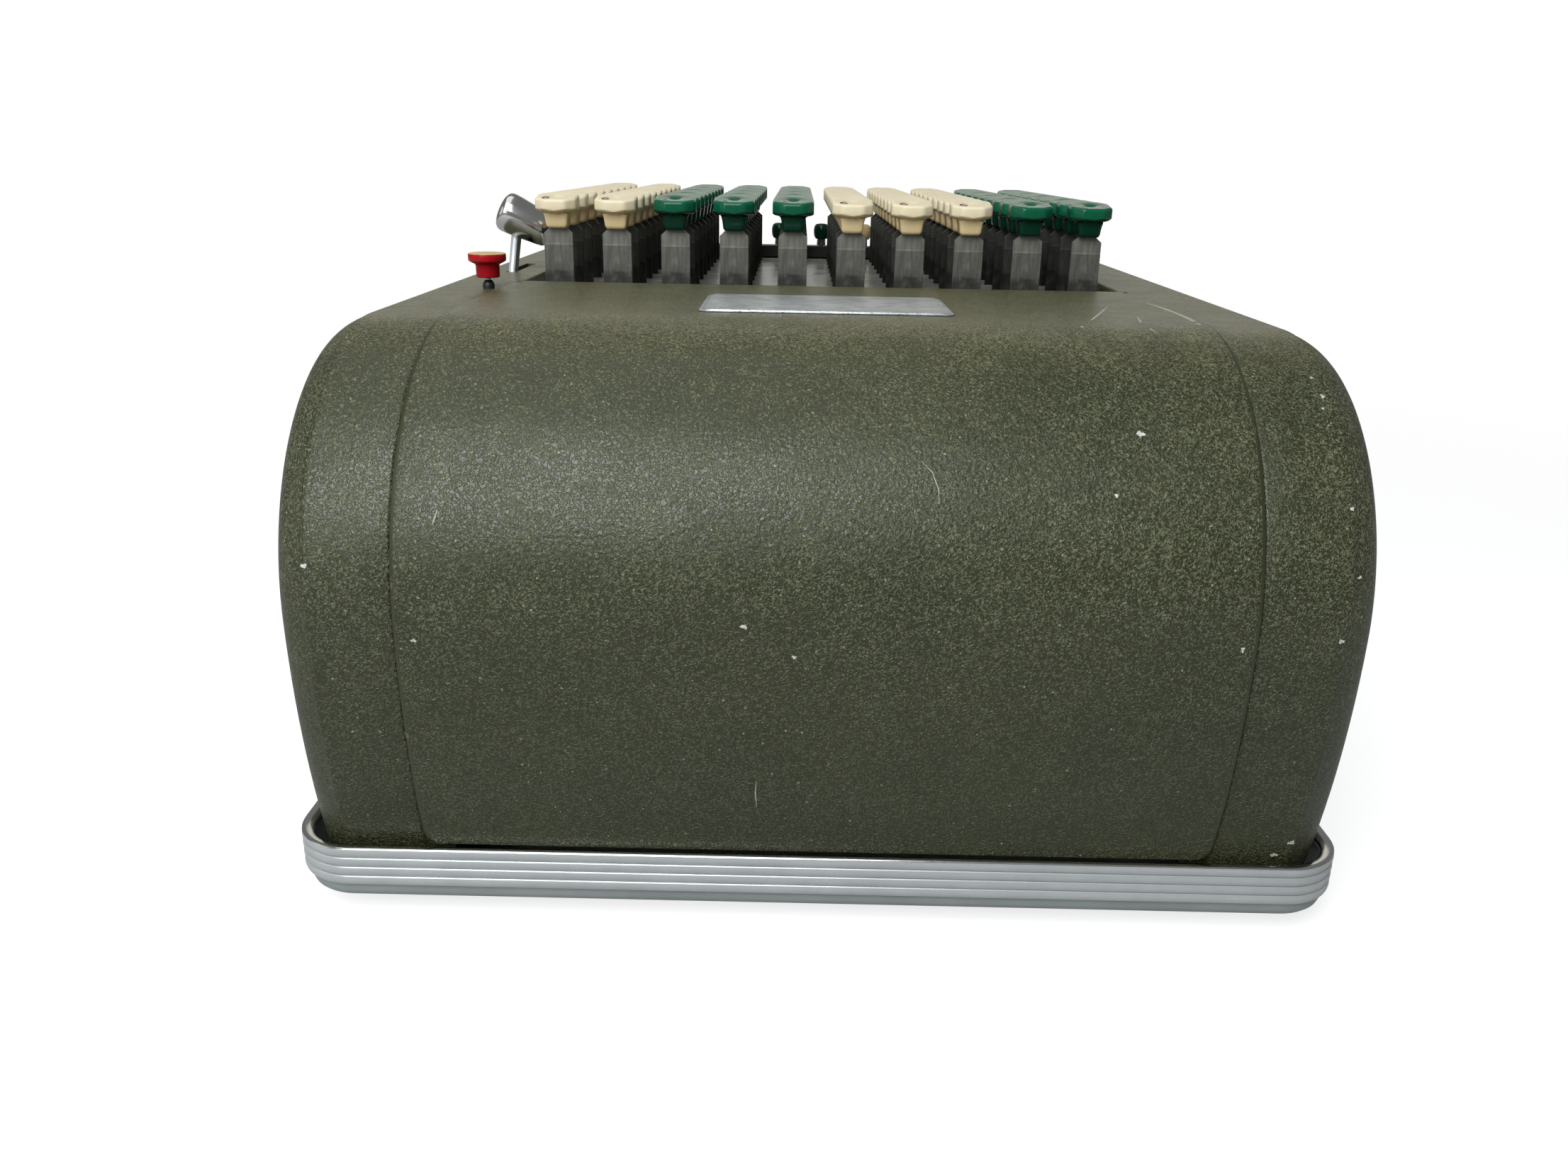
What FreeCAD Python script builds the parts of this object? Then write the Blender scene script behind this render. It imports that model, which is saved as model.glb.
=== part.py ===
import FreeCAD, Part
import math
import os

# Key-driven calculator: ten columns of nine keys over a bank of toothed levers that turn
# numeral wheels. Millimetres. The operator sits on the -Y side, +X is the operator's right,
# +Z is up, and the origin is on the table, under the middle of the machine.

os.makedirs("parts", exist_ok=True)

# Casing shell; the deck reaches are measured from the keyboard opening outwards, and the
# side margin from the last wheel's column line
deck_height = 142.2
side_margin = 20.025
rear_deck = 147.9
front_deck = 29.1
crown_radius = 62.3
lower_back_radius = 207.0
cheek_radius = 7.6
shell_wall = 2.0
front_slope = 62.0
slope_below_wheel = 1.336
shoulder_easing = 1.4
front_knee_radius = 14.0

# Raised covers between the two side casings
cover_rise = 1.3
cover_wall = 1.5
rear_cover_margin = 0.5
front_cover_inset = 5.2
ledge_gap = 0.1
rear_ledge_reach = 7.0
front_ledge_reach = 3.0
cover_foot_gap = 0.4

# Keys and the opening round them
columns = 10
rows = 9
column_pitch = 19.05
row_pitch = 18.7
opening_side_margin = 10.875
opening_rear_margin = 9.1
opening_front_margin = 13.4
lip_wall = 1.5
lip_gap = 0.3
cap_width = 13.3
cap_height = 10.9
cap_flange = 5.5
cap_chamfer = 3.2
cap_stand = 16.4
cap_slope = 8.5
neck_top_width = 9.2
neck_bottom_width = 7.0
stem_width = 9.4
stem_thickness = 1.4
slot_gap = 0.3

# Keyboard plate, lower guide and side frames
plate_recess = 4.3
keyboard_plate_wall = 1.5
plate_rear_reach = 10.0
guide_rise = 9.0
guide_wall = 1.5
guide_margin = 6.0
frame_wall = 2.0
frame_foot = 12.0
frame_nose = 8.0
frame_front_inset = 9.2
frame_rear_reach = 18.8
wheel_bearing_reach = 7.0
frame_gap_right = 1.4
frame_gap_left = 3.4
rod_size = 6.0
rod_height = 60.0

# Lever bank and numeral wheels
lever_rear_arm = 79.9
pinion_pitch_radius = 4.2
pinion_teeth = 10
wheel_count = columns + 1
segment_setback = 7.3
segment_head_room = 4.811
lever_offset_x = -3.5
lever_thickness = 1.6
lever_gap = 0.3
lever_arm_drop = 3.0
lever_arm_depth = 9.0
segment_depth = 5.5
segment_teeth_below = 1
segment_teeth_above = 10
tooth_addendum = 0.65
tooth_clearance = 0.3
lever_shaft_radius = 3.0
wheel_shaft_radius = 2.5
running_gap = 0.05
bore_sides = 6
shaft_sides = 12
drum_width = 7.6
drum_radius = 9.4
drum_offset_x = 2.0
pinion_width = 2.4
lever_hub_radius = 8.0

# Register windows
window_width = 7.0
window_height = 6.6
lens_wall = 1.0
lens_height = 11.0
lens_overhang = 1.5

# Subtraction cut-off knobs
knob_offset_x = -12.1
knob_setback = 3.1
knob_radius = 3.5
knob_rise = 6.2
knob_ferrule_radius = 1.9
knob_stem_radius = 1.2
knob_stem_length = 7.0
knob_travel = 3.5
knob_gap = 0.25
knob_seat_gap = 0.1
knob_sides = 8

# Cancelling lever
cancel_margin = 10.9
cancel_thickness = 2.2
pivot_before_grip = 23.3
cancel_pivot_z = 60.0
cancel_hub_radius = 9.0
cancel_pin_radius = 3.0
pin_shoulder_radius = 5.5
pin_overhang = 3.0
cancel_arm_width = 5.7
cancel_before_row = 27.75
cancel_lean = 9.4
cancel_foot_depth = 8.0
grip_offset_x = -4.1
grip_before_arm = 7.5
grip_rise = 16.4
grip_radius = 6.45
grip_inner_radius = 5.1
grip_length = 17.6
grip_tilt = 24.7
grip_sides = 16
grip_seat = 2.0
slot_side_gap = 0.6
slot_end_gap = 1.5
slot_length = 35.0

# Release key
release_margin = 5.3
release_behind_row = 30.9
release_cap_radius = 5.65
release_neck_radius = 3.55
release_stand = 10.5
release_flange = 3.0
release_neck = 4.2
release_stem_radius = 1.0
release_guide_radius = 1.8
release_guide_height = 2.5
release_hollow_radius = 2.4
release_hollow_depth = 3.2
release_travel = 3.0
release_gap = 0.25
release_sides = 10

# Rating plate on top of the rear cover, left bare
top_plate_width = 67.0
top_plate_depth = 38.4
top_plate_wall = 0.8
top_plate_setback = 62.9

# Base pan, trim band and feet
foot_height = 5.0
foot_radius = 10.0
foot_inset = 24.0
foot_sides = 14
pan_wall = 1.5
pan_visible = 4.6
pan_inset = 1.4
pan_rim_height = 12.5
pan_edge_chamfer = 1.6
band_height = 10.4
band_corner_radius = 15.6
band_flange_width = 4.2
band_side_gap = 2.4
band_end_gap = 0.6
band_skin = 1.0
groove_width = 1.0
groove_depth = 0.5
band_gap = 0.1
rib_count = 4

# Worked out from the driving sizes
keys_depth = (rows - 1) * row_pitch
front_half = keys_depth + opening_front_margin + front_deck + band_end_gap + band_flange_width
rear_half = opening_rear_margin + rear_deck + cover_rise
rear_row_y = (front_half - rear_half) / 2
front_row_y = rear_row_y - keys_depth
opening_half_width = (columns - 1) / 2 * column_pitch + opening_side_margin
opening_rear_y = rear_row_y + opening_rear_margin
opening_front_y = front_row_y - opening_front_margin
casing_width = wheel_count * column_pitch + 2 * side_margin
rear_reach = opening_rear_y + rear_deck
front_reach = -opening_front_y + front_deck
crown_centre_y = rear_reach - crown_radius
crown_centre_z = deck_height - crown_radius
slope = math.radians(front_slope)
tooth_pitch = 2 * math.pi * pinion_pitch_radius / pinion_teeth
wheel_axis_y = opening_front_y - segment_setback - pinion_pitch_radius
wheel_axis_z = deck_height - segment_teeth_above * tooth_pitch - segment_head_room
slope_foot_z = wheel_axis_z - slope_below_wheel
front_corner_y = (deck_height - slope_foot_z) / math.tan(slope) - front_reach
shoulder_radius = cheek_radius + shoulder_easing
cover_deck = deck_height + cover_rise
pan_bottom = foot_height
pan_floor = pan_bottom + pan_wall
band_bottom = pan_bottom + pan_visible
band_top = band_bottom + band_height
cover_bottom = band_top + cover_foot_gap
band_half_width = casing_width / 2 + band_side_gap + band_flange_width
band_front_y = -front_reach - band_end_gap - band_flange_width
back_dip = math.asin((crown_centre_z - band_top) / lower_back_radius)
back_at_band = rear_reach - lower_back_radius * (1 - math.cos(back_dip))
band_rear_y = back_at_band + band_end_gap / 2 + band_flange_width
rear_cover_half_width = opening_half_width + rear_cover_margin
front_cover_half_width = casing_width / 2 - cheek_radius - front_cover_inset
keyboard_plate_top = deck_height - plate_recess
plate_bottom = keyboard_plate_top - keyboard_plate_wall
plate_rear_y = opening_rear_y + plate_rear_reach
cap_bottom = deck_height + cap_stand
cap_top = cap_bottom + cap_height
lever_pivot_y = rear_row_y + lever_rear_arm
lever_pivot_z = wheel_axis_z
lever_arm_top = lever_pivot_z - lever_arm_drop
lever_stem_bottom = lever_arm_top + lever_gap
guide_top = lever_arm_top + guide_rise
segment_pitch_radius = lever_pivot_y - wheel_axis_y - pinion_pitch_radius
frame_front_y = wheel_axis_y + frame_front_inset
frame_rear_y = lever_pivot_y + frame_rear_reach
frame_right_x = opening_half_width + frame_gap_right
last_drum_x = drum_offset_x - wheel_count / 2 * column_pitch
frame_left_x = last_drum_x - drum_width / 2 - frame_gap_left - frame_wall
frame_bottom = pan_floor
right_frame_outer = frame_right_x + frame_wall
left_frame_inner = frame_left_x + frame_wall
knob_y = opening_front_y - knob_setback
knob_centre_z = cover_deck + knob_rise
cancel_x = opening_half_width + cancel_margin
cancel_deck_y = rear_row_y - cancel_before_row
grip_y = cancel_deck_y - grip_before_arm
cancel_pivot_y = grip_y - pivot_before_grip
grip_x = cancel_x + grip_offset_x
grip_z = deck_height + grip_rise
release_x = opening_half_width + release_margin
release_y = rear_row_y + release_behind_row
top_plate_y = opening_rear_y + top_plate_setback
release_cap_top = deck_height + release_stand

X_AXIS = FreeCAD.Vector(1, 0, 0)
Y_AXIS = FreeCAD.Vector(0, 1, 0)
Z_AXIS = FreeCAD.Vector(0, 0, 1)


def vec(x, y, z):
    return FreeCAD.Vector(x, y, z)


def box(x0, x1, y0, y1, z0, z1):
    return Part.makeBox(x1 - x0, y1 - y0, z1 - z0, vec(x0, y0, z0))


def prism_x(points, x0, x1):
    """Extrude a polygon of (y, z) points from x0 to x1."""
    corners = [vec(x0, y, z) for y, z in points]
    face = Part.Face(Part.makePolygon(corners + corners[:1]))
    return face.extrude(vec(x1 - x0, 0, 0))


def stacked(rings, x, y):
    """Solid between level polygons of equal point counts, listed from the lowest up."""
    return skinned([[vec(x + px, y + py, z) for px, py in points] for points, z in rings])


def skinned(loops):
    """Solid between flat loops of equal point counts."""
    faces = []
    for lower, upper in zip(loops, loops[1:]):
        for i in range(len(lower)):
            j = (i + 1) % len(lower)
            quad = [lower[i], lower[j], upper[j], upper[i], lower[i]]
            faces.append(Part.Face(Part.makePolygon(quad)))
    for loop in (loops[0], loops[-1]):
        faces.append(Part.Face(Part.makePolygon(loop + loop[:1])))
    solid = Part.Solid(Part.Shell(faces))
    if solid.Volume < 0:
        solid.reverse()
    return solid


def polygon(radius, sides):
    """Points of a regular polygon whose corners lie on the radius."""
    turn = 2 * math.pi / sides
    return [(radius * math.cos((i + 0.5) * turn), radius * math.sin((i + 0.5) * turn))
            for i in range(sides)]


def turned(profile, sides, x, y):
    """Upright turned piece with a number of flats, from (radius, z) points, lowest first."""
    return stacked([(polygon(radius, sides), z) for radius, z in profile], x, y)


def along_x(shape, x, y, z):
    """Lay an upright shape made at the origin along +X, starting at a point."""
    moved = shape.copy()
    moved.Placement = FreeCAD.Placement(vec(x, y, z), FreeCAD.Rotation(Y_AXIS, 90))
    return moved


def cylinder_z(radius, x, y, z0, z1):
    return Part.makeCylinder(radius, z1 - z0, vec(x, y, z0), Z_AXIS)


def column_x(index):
    """X of a key column; the first column is at the operator's right."""
    return ((columns + 1) / 2 - index) * column_pitch


def row_y(row):
    """Y of a key row; the ninth row is at the rear."""
    return rear_row_y - (rows - row) * row_pitch


def save(name, shape):
    shape.exportStep("parts/" + name + ".step")


# Casing outline in the YZ plane
def arc(centre_y, centre_z, radius, start, end):
    """Arc in the YZ plane; angles in degrees from +Y towards +Z."""
    points = []
    for angle in (start, (start + end) / 2, end):
        a = math.radians(angle)
        points.append(vec(0, centre_y + radius * math.cos(a), centre_z + radius * math.sin(a)))
    return Part.Arc(*points).toShape()


def line(a, b):
    return Part.LineSegment(a, b).toShape()


def end_of(edge):
    return edge.valueAt(edge.LastParameter)


def start_of(edge):
    return edge.valueAt(edge.FirstParameter)


def outline_edges(grow, bottom):
    """Edges of the casing outline, grown outwards, from the rear foot over the top to the front."""
    back_centre_y = rear_reach - lower_back_radius
    back_radius = lower_back_radius + grow
    dip = math.degrees(math.asin((crown_centre_z - bottom) / back_radius))
    back = arc(back_centre_y, crown_centre_z, back_radius, -dip, 0)
    crown = arc(crown_centre_y, crown_centre_z, crown_radius + grow, 0, 90)
    shoulder_turn = front_slope
    knee_turn = 90 - front_slope
    shoulder_y = front_corner_y + shoulder_radius * math.tan(math.radians(shoulder_turn / 2))
    shoulder = arc(shoulder_y, deck_height - shoulder_radius, shoulder_radius + grow,
                   90, 90 + shoulder_turn)
    knee_z = slope_foot_z - front_knee_radius * math.tan(math.radians(knee_turn / 2))
    knee = arc(-front_reach + front_knee_radius, knee_z, front_knee_radius + grow,
               90 + shoulder_turn, 180)
    foot = vec(0, -front_reach - grow, bottom)
    return [back, crown, line(end_of(crown), start_of(shoulder)), shoulder,
            line(end_of(shoulder), start_of(knee)), knee, line(end_of(knee), foot)]


def outline_solid(grow, bottom, x0, x1):
    edges = outline_edges(grow, bottom)
    edges.append(line(end_of(edges[-1]), start_of(edges[0])))
    face = Part.Face(Part.Wire(edges))
    face.translate(vec(x0, 0, 0))
    return face.extrude(vec(x1 - x0, 0, 0))


def rim_edges(solid, x, bottom):
    """Edges that run round the outline at a distance x on both sides, without the bottom ones."""
    return [edge for edge in solid.Edges
            if edge.BoundBox.XLength < 0.001 and edge.BoundBox.ZMax > bottom + 0.001
            and abs(abs(edge.BoundBox.XMin) - x) < 0.001]


def ease_cheeks(solid, half_width, radius, bottom):
    """Round the outline's edges at both sides in three flats that touch the radius."""
    first = radius * (2 - math.sqrt(2))
    second = radius * (math.tan(math.pi / 8) - math.tan(math.pi / 16))
    solid = solid.makeChamfer(first, rim_edges(solid, half_width, bottom))
    edges = rim_edges(solid, half_width, bottom) + rim_edges(solid, half_width - first, bottom)
    return solid.makeChamfer(second, edges)


def outline_sheet(outer, inner, x0, x1, bottom):
    """Sheet between two grown outlines, open below."""
    skin = outline_solid(outer, bottom, x0, x1)
    return skin.cut(outline_solid(inner, bottom - 1, x0 - 1, x1 + 1))


def build_shell():
    """Closed shell of the casing, open below, before the opening and the covers are cut out."""
    half = casing_width / 2
    outer = ease_cheeks(outline_solid(0, pan_floor, -half, half), half, cheek_radius, pan_floor)
    inner_half = half - shell_wall
    low = pan_floor - 1
    inner = outline_solid(-shell_wall, low, -inner_half, inner_half)
    corner = (cheek_radius - shell_wall) * (2 - math.sqrt(2))
    inner = inner.makeChamfer(corner, rim_edges(inner, inner_half, low))
    return outer.cut(inner)


def cancel_slot():
    """Slot in the right deck that the cancelling lever's arm sweeps through."""
    half = cancel_thickness / 2 + slot_side_gap
    rear = cancel_deck_y + cancel_arm_width / 2 + slot_end_gap
    front = rear - slot_length
    return box(cancel_x - half, cancel_x + half, front, rear, deck_height - 8, deck_height + 4)


def build_side_casings(shell):
    """The shell's two sides: each has a deck margin, a turned-down lip and rebated ledges."""
    guide = turned([(release_guide_radius, deck_height - shell_wall / 2),
                    (release_guide_radius, deck_height + release_guide_height)],
                   release_sides, release_x, release_y)
    shell = shell.fuse(guide)
    rear_edge = rear_cover_half_width - rear_ledge_reach
    front_edge = front_cover_half_width - front_ledge_reach
    behind = opening_rear_y + lip_wall
    before = opening_front_y - lip_wall
    cuts = [
        box(-opening_half_width, opening_half_width, before - lip_gap, behind + lip_gap, -10, 300),
        box(-rear_edge, rear_edge, 0, 300, -10, 300),
        box(-front_edge, front_edge, -300, before, -10, 300),
        rebate(rear_cover_half_width).common(box(-200, 200, opening_rear_y, 300, 0, 300)),
        rebate(front_cover_half_width).common(box(-200, 200, -300, opening_front_y, 0, 300)),
        cylinder_z(release_stem_radius + release_gap, release_x, release_y, 100, 300),
        cancel_slot(),
    ]
    for cut in cuts:
        shell = shell.cut(cut)
    half = casing_width / 2
    sides = {}
    for name, sign in (("side_casing_right", 1), ("side_casing_left", -1)):
        near, far = sorted((sign * rear_edge, sign * (half + 1)))
        side = shell.common(box(near, far, -300, 300, -10, 300))
        sides[name] = side.fuse(side_lip(sign)).removeSplitter()
    return sides


def rebate(half):
    """Skin taken off the shell where a raised cover lies over its ledge."""
    depth = cover_wall - cover_rise + ledge_gap
    return outline_sheet(2, -depth, -half, half, cover_bottom)


def side_lip(sign):
    near, far = sorted((sign * opening_half_width, sign * (opening_half_width + lip_wall)))
    return box(near, far, opening_front_y, opening_rear_y,
               keyboard_plate_top + lip_gap, deck_height)


def build_rear_cover():
    """Raised panel over the rear: a pressed skin with a turned-down front lip."""
    half = rear_cover_half_width
    outer = cover_rise
    inner = cover_rise - cover_wall
    keep = box(-200, 200, opening_rear_y, 300, 0, 300)
    cover = outline_sheet(outer, inner, -half, half, cover_bottom).common(keep)
    lip_half = opening_half_width - lip_gap
    lip = box(-lip_half, lip_half, opening_rear_y, opening_rear_y + lip_wall,
              keyboard_plate_top + lip_gap, cover_deck - cover_wall / 2)
    cover = cover.fuse(lip)
    return cover.removeSplitter()


def slope_frame(shape, along, height_from_face):
    """Move a shape made round the origin to the sloping front face, at a distance behind it."""
    turn = FreeCAD.Rotation(X_AXIS, front_slope)
    normal = vec(0, -math.sin(slope), math.cos(slope))
    foot = wheel_foot_on_slope()
    place = foot + normal * (-height_from_face) + vec(along, 0, 0)
    moved = shape.copy()
    moved.Placement = FreeCAD.Placement(place, turn)
    return moved


def wheel_foot_on_slope():
    """Point of the sloping outer face of the front cover nearest to the wheel axis."""
    corner = vec(0, front_corner_y, deck_height)
    normal = vec(0, -math.sin(slope), math.cos(slope))
    axis = vec(0, wheel_axis_y, wheel_axis_z)
    distance = (corner - axis).dot(normal) + cover_rise
    return axis + normal * distance


def drum_centre_x(index):
    return column_x(index) + drum_offset_x


def build_front_cover():
    """Raised cover over the register, with a window for each wheel and a slot for each knob."""
    half = front_cover_half_width
    inner = cover_rise - cover_wall
    keep = box(-200, 200, -300, opening_front_y, 0, 300)
    cover = outline_sheet(cover_rise, inner, -half, half, cover_bottom).common(keep)
    lip_half = opening_half_width - lip_gap
    lip = box(-lip_half, lip_half, opening_front_y - lip_wall, opening_front_y,
              keyboard_plate_top + lip_gap, cover_deck - cover_wall / 2)
    cover = cover.fuse(lip)
    for index in range(1, wheel_count + 1):
        window = Part.makeBox(window_width, window_height, 12,
                              vec(-window_width / 2, -window_height / 2, -6))
        cover = cover.cut(slope_frame(window, drum_centre_x(index), 0))
    for index in range(1, columns + 1):
        cover = cover.cut(knob_slot(index))
    return cover.removeSplitter()


def knob_slot(index):
    x = column_x(index) + knob_offset_x
    half = knob_stem_radius + knob_gap
    return box(x - half, x + half, knob_y - knob_travel - half, knob_y + half,
               deck_height - 4, deck_height + 6)


def build_register_lens():
    margin = window_width / 2 + lens_overhang
    left = drum_centre_x(wheel_count) - margin
    right = drum_centre_x(1) + margin
    strip = Part.makeBox(right - left, lens_height, lens_wall,
                         vec(left, -lens_height / 2, -lens_wall))
    return slope_frame(strip, 0, cover_wall)


# Keys
def octagon(half_x, half_y, chamfer):
    return [(half_x - chamfer, -half_y), (half_x, -half_y + chamfer),
            (half_x, half_y - chamfer), (half_x - chamfer, half_y),
            (-half_x + chamfer, half_y), (-half_x, half_y - chamfer),
            (-half_x, -half_y + chamfer), (-half_x + chamfer, -half_y)]


def build_cap(x, y):
    """Key cap: eight-sided flange whose top falls to the rear, over a narrowing square neck."""
    half = cap_width / 2
    under_flange = cap_top - cap_flange
    fall = math.tan(math.radians(cap_slope))
    flange = octagon(half, half, cap_chamfer)
    plate = skinned([[vec(x + px, y + py, under_flange) for px, py in flange],
                     [vec(x + px, y + py, cap_top - (py + half) * fall) for px, py in flange]])
    neck = stacked([(polygon(neck_bottom_width / math.sqrt(2), 4), cap_bottom),
                    (polygon(neck_top_width / math.sqrt(2), 4), under_flange)], x, y)
    return plate.fuse(neck)


def build_stem(x, y):
    """Flat steel stem from the lever up to the cap."""
    half_width = stem_width / 2
    half = stem_thickness / 2
    return box(x - half_width, x + half_width, y - half, y + half,
               lever_stem_bottom, cap_bottom)


def build_key_column(index):
    solids = []
    for row in range(1, rows + 1):
        solids.append(build_cap(column_x(index), row_y(row)))
        solids.append(build_stem(column_x(index), row_y(row)))
    return Part.makeCompound(solids)


# Plates that guide the stems
def plate_with_lanes(x0, x1, y0, y1, top, wall_height):
    """Flat plate with one long opening for each column of stems."""
    plate = box(x0, x1, y0, y1, top - wall_height, top)
    half = stem_width / 2 + slot_gap
    margin = stem_thickness / 2 + slot_gap
    for index in range(1, columns + 1):
        x = column_x(index)
        plate = plate.cut(box(x - half, x + half, front_row_y - margin, rear_row_y + margin,
                              top - wall_height - 1, top + 1))
    return plate


def build_keyboard_plate():
    return plate_with_lanes(frame_left_x, right_frame_outer, opening_front_y,
                            plate_rear_y, keyboard_plate_top, keyboard_plate_wall)


def build_guide_plate():
    """Lower guide, level with the lower ends of the stems."""
    return plate_with_lanes(left_frame_inner, frame_right_x, front_row_y - guide_margin,
                            rear_row_y + guide_margin, guide_top, guide_wall)


# Frames, shafts and rods
def rod_places():
    """Centres (y, z) of the tie rods, level with each other inside the frames' ends."""
    return [(frame_front_y + 2 * rod_size, rod_height), (frame_rear_y - 2 * rod_size, rod_height)]


def build_frame(x0):
    """Side frame of the mechanism with a turned-in foot; the shafts end against it."""
    shoulder = lever_pivot_z + wheel_bearing_reach
    nose_y = wheel_axis_y - wheel_bearing_reach
    outline = [(frame_front_y, frame_bottom), (frame_rear_y, frame_bottom),
               (frame_rear_y, shoulder), (lever_pivot_y - wheel_bearing_reach, shoulder),
               (plate_rear_y, plate_bottom), (frame_front_y + frame_nose, plate_bottom),
               (frame_front_y + frame_nose, shoulder), (nose_y, shoulder),
               (nose_y, wheel_axis_z - wheel_bearing_reach),
               (frame_front_y, wheel_axis_z - 3 * wheel_bearing_reach)]
    plate = prism_x(outline, x0, x0 + frame_wall)
    near, far = sorted((x0, x0 + math.copysign(frame_foot, -x0)))
    if x0 > 0:
        near, far = near + frame_wall, far + frame_wall
    foot = box(near, far, frame_front_y + frame_nose, frame_rear_y - frame_nose,
               frame_bottom, frame_bottom + frame_wall)
    return plate.fuse(foot).removeSplitter()


def build_right_frame():
    """The right frame also carries the shouldered pin of the cancelling lever."""
    start = cancel_x - cancel_thickness / 2 - lever_gap
    pin = [(pin_shoulder_radius, frame_wall / 2), (pin_shoulder_radius, start - frame_right_x),
           (cancel_pin_radius, start - frame_right_x),
           (cancel_pin_radius, cancel_x + cancel_thickness / 2 + pin_overhang - frame_right_x)]
    pin = along_x(turned(pin, release_sides, 0, 0), frame_right_x, cancel_pivot_y, cancel_pivot_z)
    return build_frame(frame_right_x).fuse(pin).removeSplitter()


def shaft(radius, y, z):
    """Shaft between the side frames, with as many flats as the other turned pieces."""
    length = frame_right_x - left_frame_inner
    return along_x(turned([(radius, 0), (radius, length)], shaft_sides, 0, 0),
                   left_frame_inner, y, z)


def build_tie_rods():
    """Square bars that hold the two side frames apart."""
    half = rod_size / 2
    bars = [box(left_frame_inner, frame_right_x, y - half, y + half, z - half, z + half)
            for y, z in rod_places()]
    return Part.makeCompound(bars)


# Column levers and numeral wheels
def tooth_points(radius, angle):
    """Root and tip of one pointed tooth on a pitch radius, starting a half step before it."""
    half_step = tooth_pitch / 2 / radius
    root = radius - tooth_addendum - tooth_clearance
    return [(root, angle - half_step), (radius + tooth_addendum, angle)]


def bore(radius, x0, x1, y, z):
    """Bore with flats that lie on the radius."""
    corner = radius / math.cos(math.pi / bore_sides)
    return prism_x([(y + cy, z + cz) for cy, cz in polygon(corner, bore_sides)], x0, x1)


def build_lever(index):
    """Column lever: hub on the rear shaft, straight arm under the stems, toothed front."""
    step = tooth_pitch / segment_pitch_radius
    outer = []
    for tooth in range(-segment_teeth_below, segment_teeth_above):
        outer += tooth_points(segment_pitch_radius, (tooth + 0.5) * step)
    top = segment_teeth_above * step
    inner_radius = segment_pitch_radius - segment_depth
    outer.append((segment_pitch_radius - tooth_addendum, top))
    outer.append((inner_radius, top))
    points = [(lever_pivot_y - r * math.cos(a), lever_pivot_z + r * math.sin(a))
              for r, a in outer]
    arm_bottom = lever_arm_top - lever_arm_depth
    hub = lever_hub_radius
    inner_y = lever_pivot_y - inner_radius
    points += [(inner_y + 0.3, lever_arm_top),
               (lever_pivot_y - 2 * hub, lever_arm_top),
               (lever_pivot_y - hub / 2, lever_pivot_z + hub),
               (lever_pivot_y + hub, lever_pivot_z + hub / 2),
               (lever_pivot_y + hub, lever_pivot_z - hub / 2),
               (lever_pivot_y - hub / 2, lever_pivot_z - hub),
               (inner_y + 6, arm_bottom)]
    x = column_x(index) + lever_offset_x
    lever = prism_x(points, x - lever_thickness / 2, x + lever_thickness / 2)
    return lever.cut(bore(lever_shaft_radius + running_gap, x - 5, x + 5,
                          lever_pivot_y, lever_pivot_z))


def build_wheel(index):
    """Ten-sided numeral drum with a ten-tooth pinion on its side."""
    x = column_x(index)
    pinion = []
    for tooth in range(pinion_teeth):
        pinion += tooth_points(pinion_pitch_radius, 2 * math.pi * tooth / pinion_teeth)
    points = [(wheel_axis_y + r * math.cos(a), wheel_axis_z + r * math.sin(a))
              for r, a in pinion]
    lever_x = x + lever_offset_x
    drum_left = x + drum_offset_x - drum_width / 2
    wheel = prism_x(points, lever_x - pinion_width / 2, drum_left)
    corner = drum_radius / math.cos(math.pi / 10)
    corners = []
    for side in range(10):
        a = math.pi - slope_facing_angle() + (side + 0.5) * math.pi / 5
        corners.append((wheel_axis_y + corner * math.cos(a), wheel_axis_z + corner * math.sin(a)))
    wheel = wheel.fuse(prism_x(corners, drum_left, drum_left + drum_width))
    return wheel.cut(bore(wheel_shaft_radius + running_gap, x - 20, x + 20,
                          wheel_axis_y, wheel_axis_z))


def slope_facing_angle():
    """Angle above the horizontal at which a wheel faces its window."""
    return math.pi / 2 - slope


# Controls
def build_knob(index):
    """Cut-off knob: faceted head on a ferrule that rides on the cover, with a stem below."""
    r = knob_radius
    base = cover_deck + knob_seat_gap
    profile = [(knob_stem_radius, base - knob_stem_length), (knob_stem_radius, base),
               (knob_ferrule_radius, base), (knob_ferrule_radius, knob_centre_z - 0.85 * r),
               (r, knob_centre_z), (0.6 * r, knob_centre_z + r)]
    return turned(profile, knob_sides, column_x(index) + knob_offset_x, knob_y)


def build_grip():
    """Tapered round grip with eased rims, tilted so that its outer end stands higher."""
    ease = grip_radius * 0.25
    half = grip_length / 2
    profile = [(grip_inner_radius - ease, -half), (grip_inner_radius, -half + ease),
               (grip_radius, half - ease), (grip_radius - ease, half)]
    grip = turned(profile, grip_sides, 0, 0)
    grip.Placement = FreeCAD.Placement(vec(grip_x, grip_y, grip_z),
                                       FreeCAD.Rotation(Y_AXIS, 90 - grip_tilt))
    return grip


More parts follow.
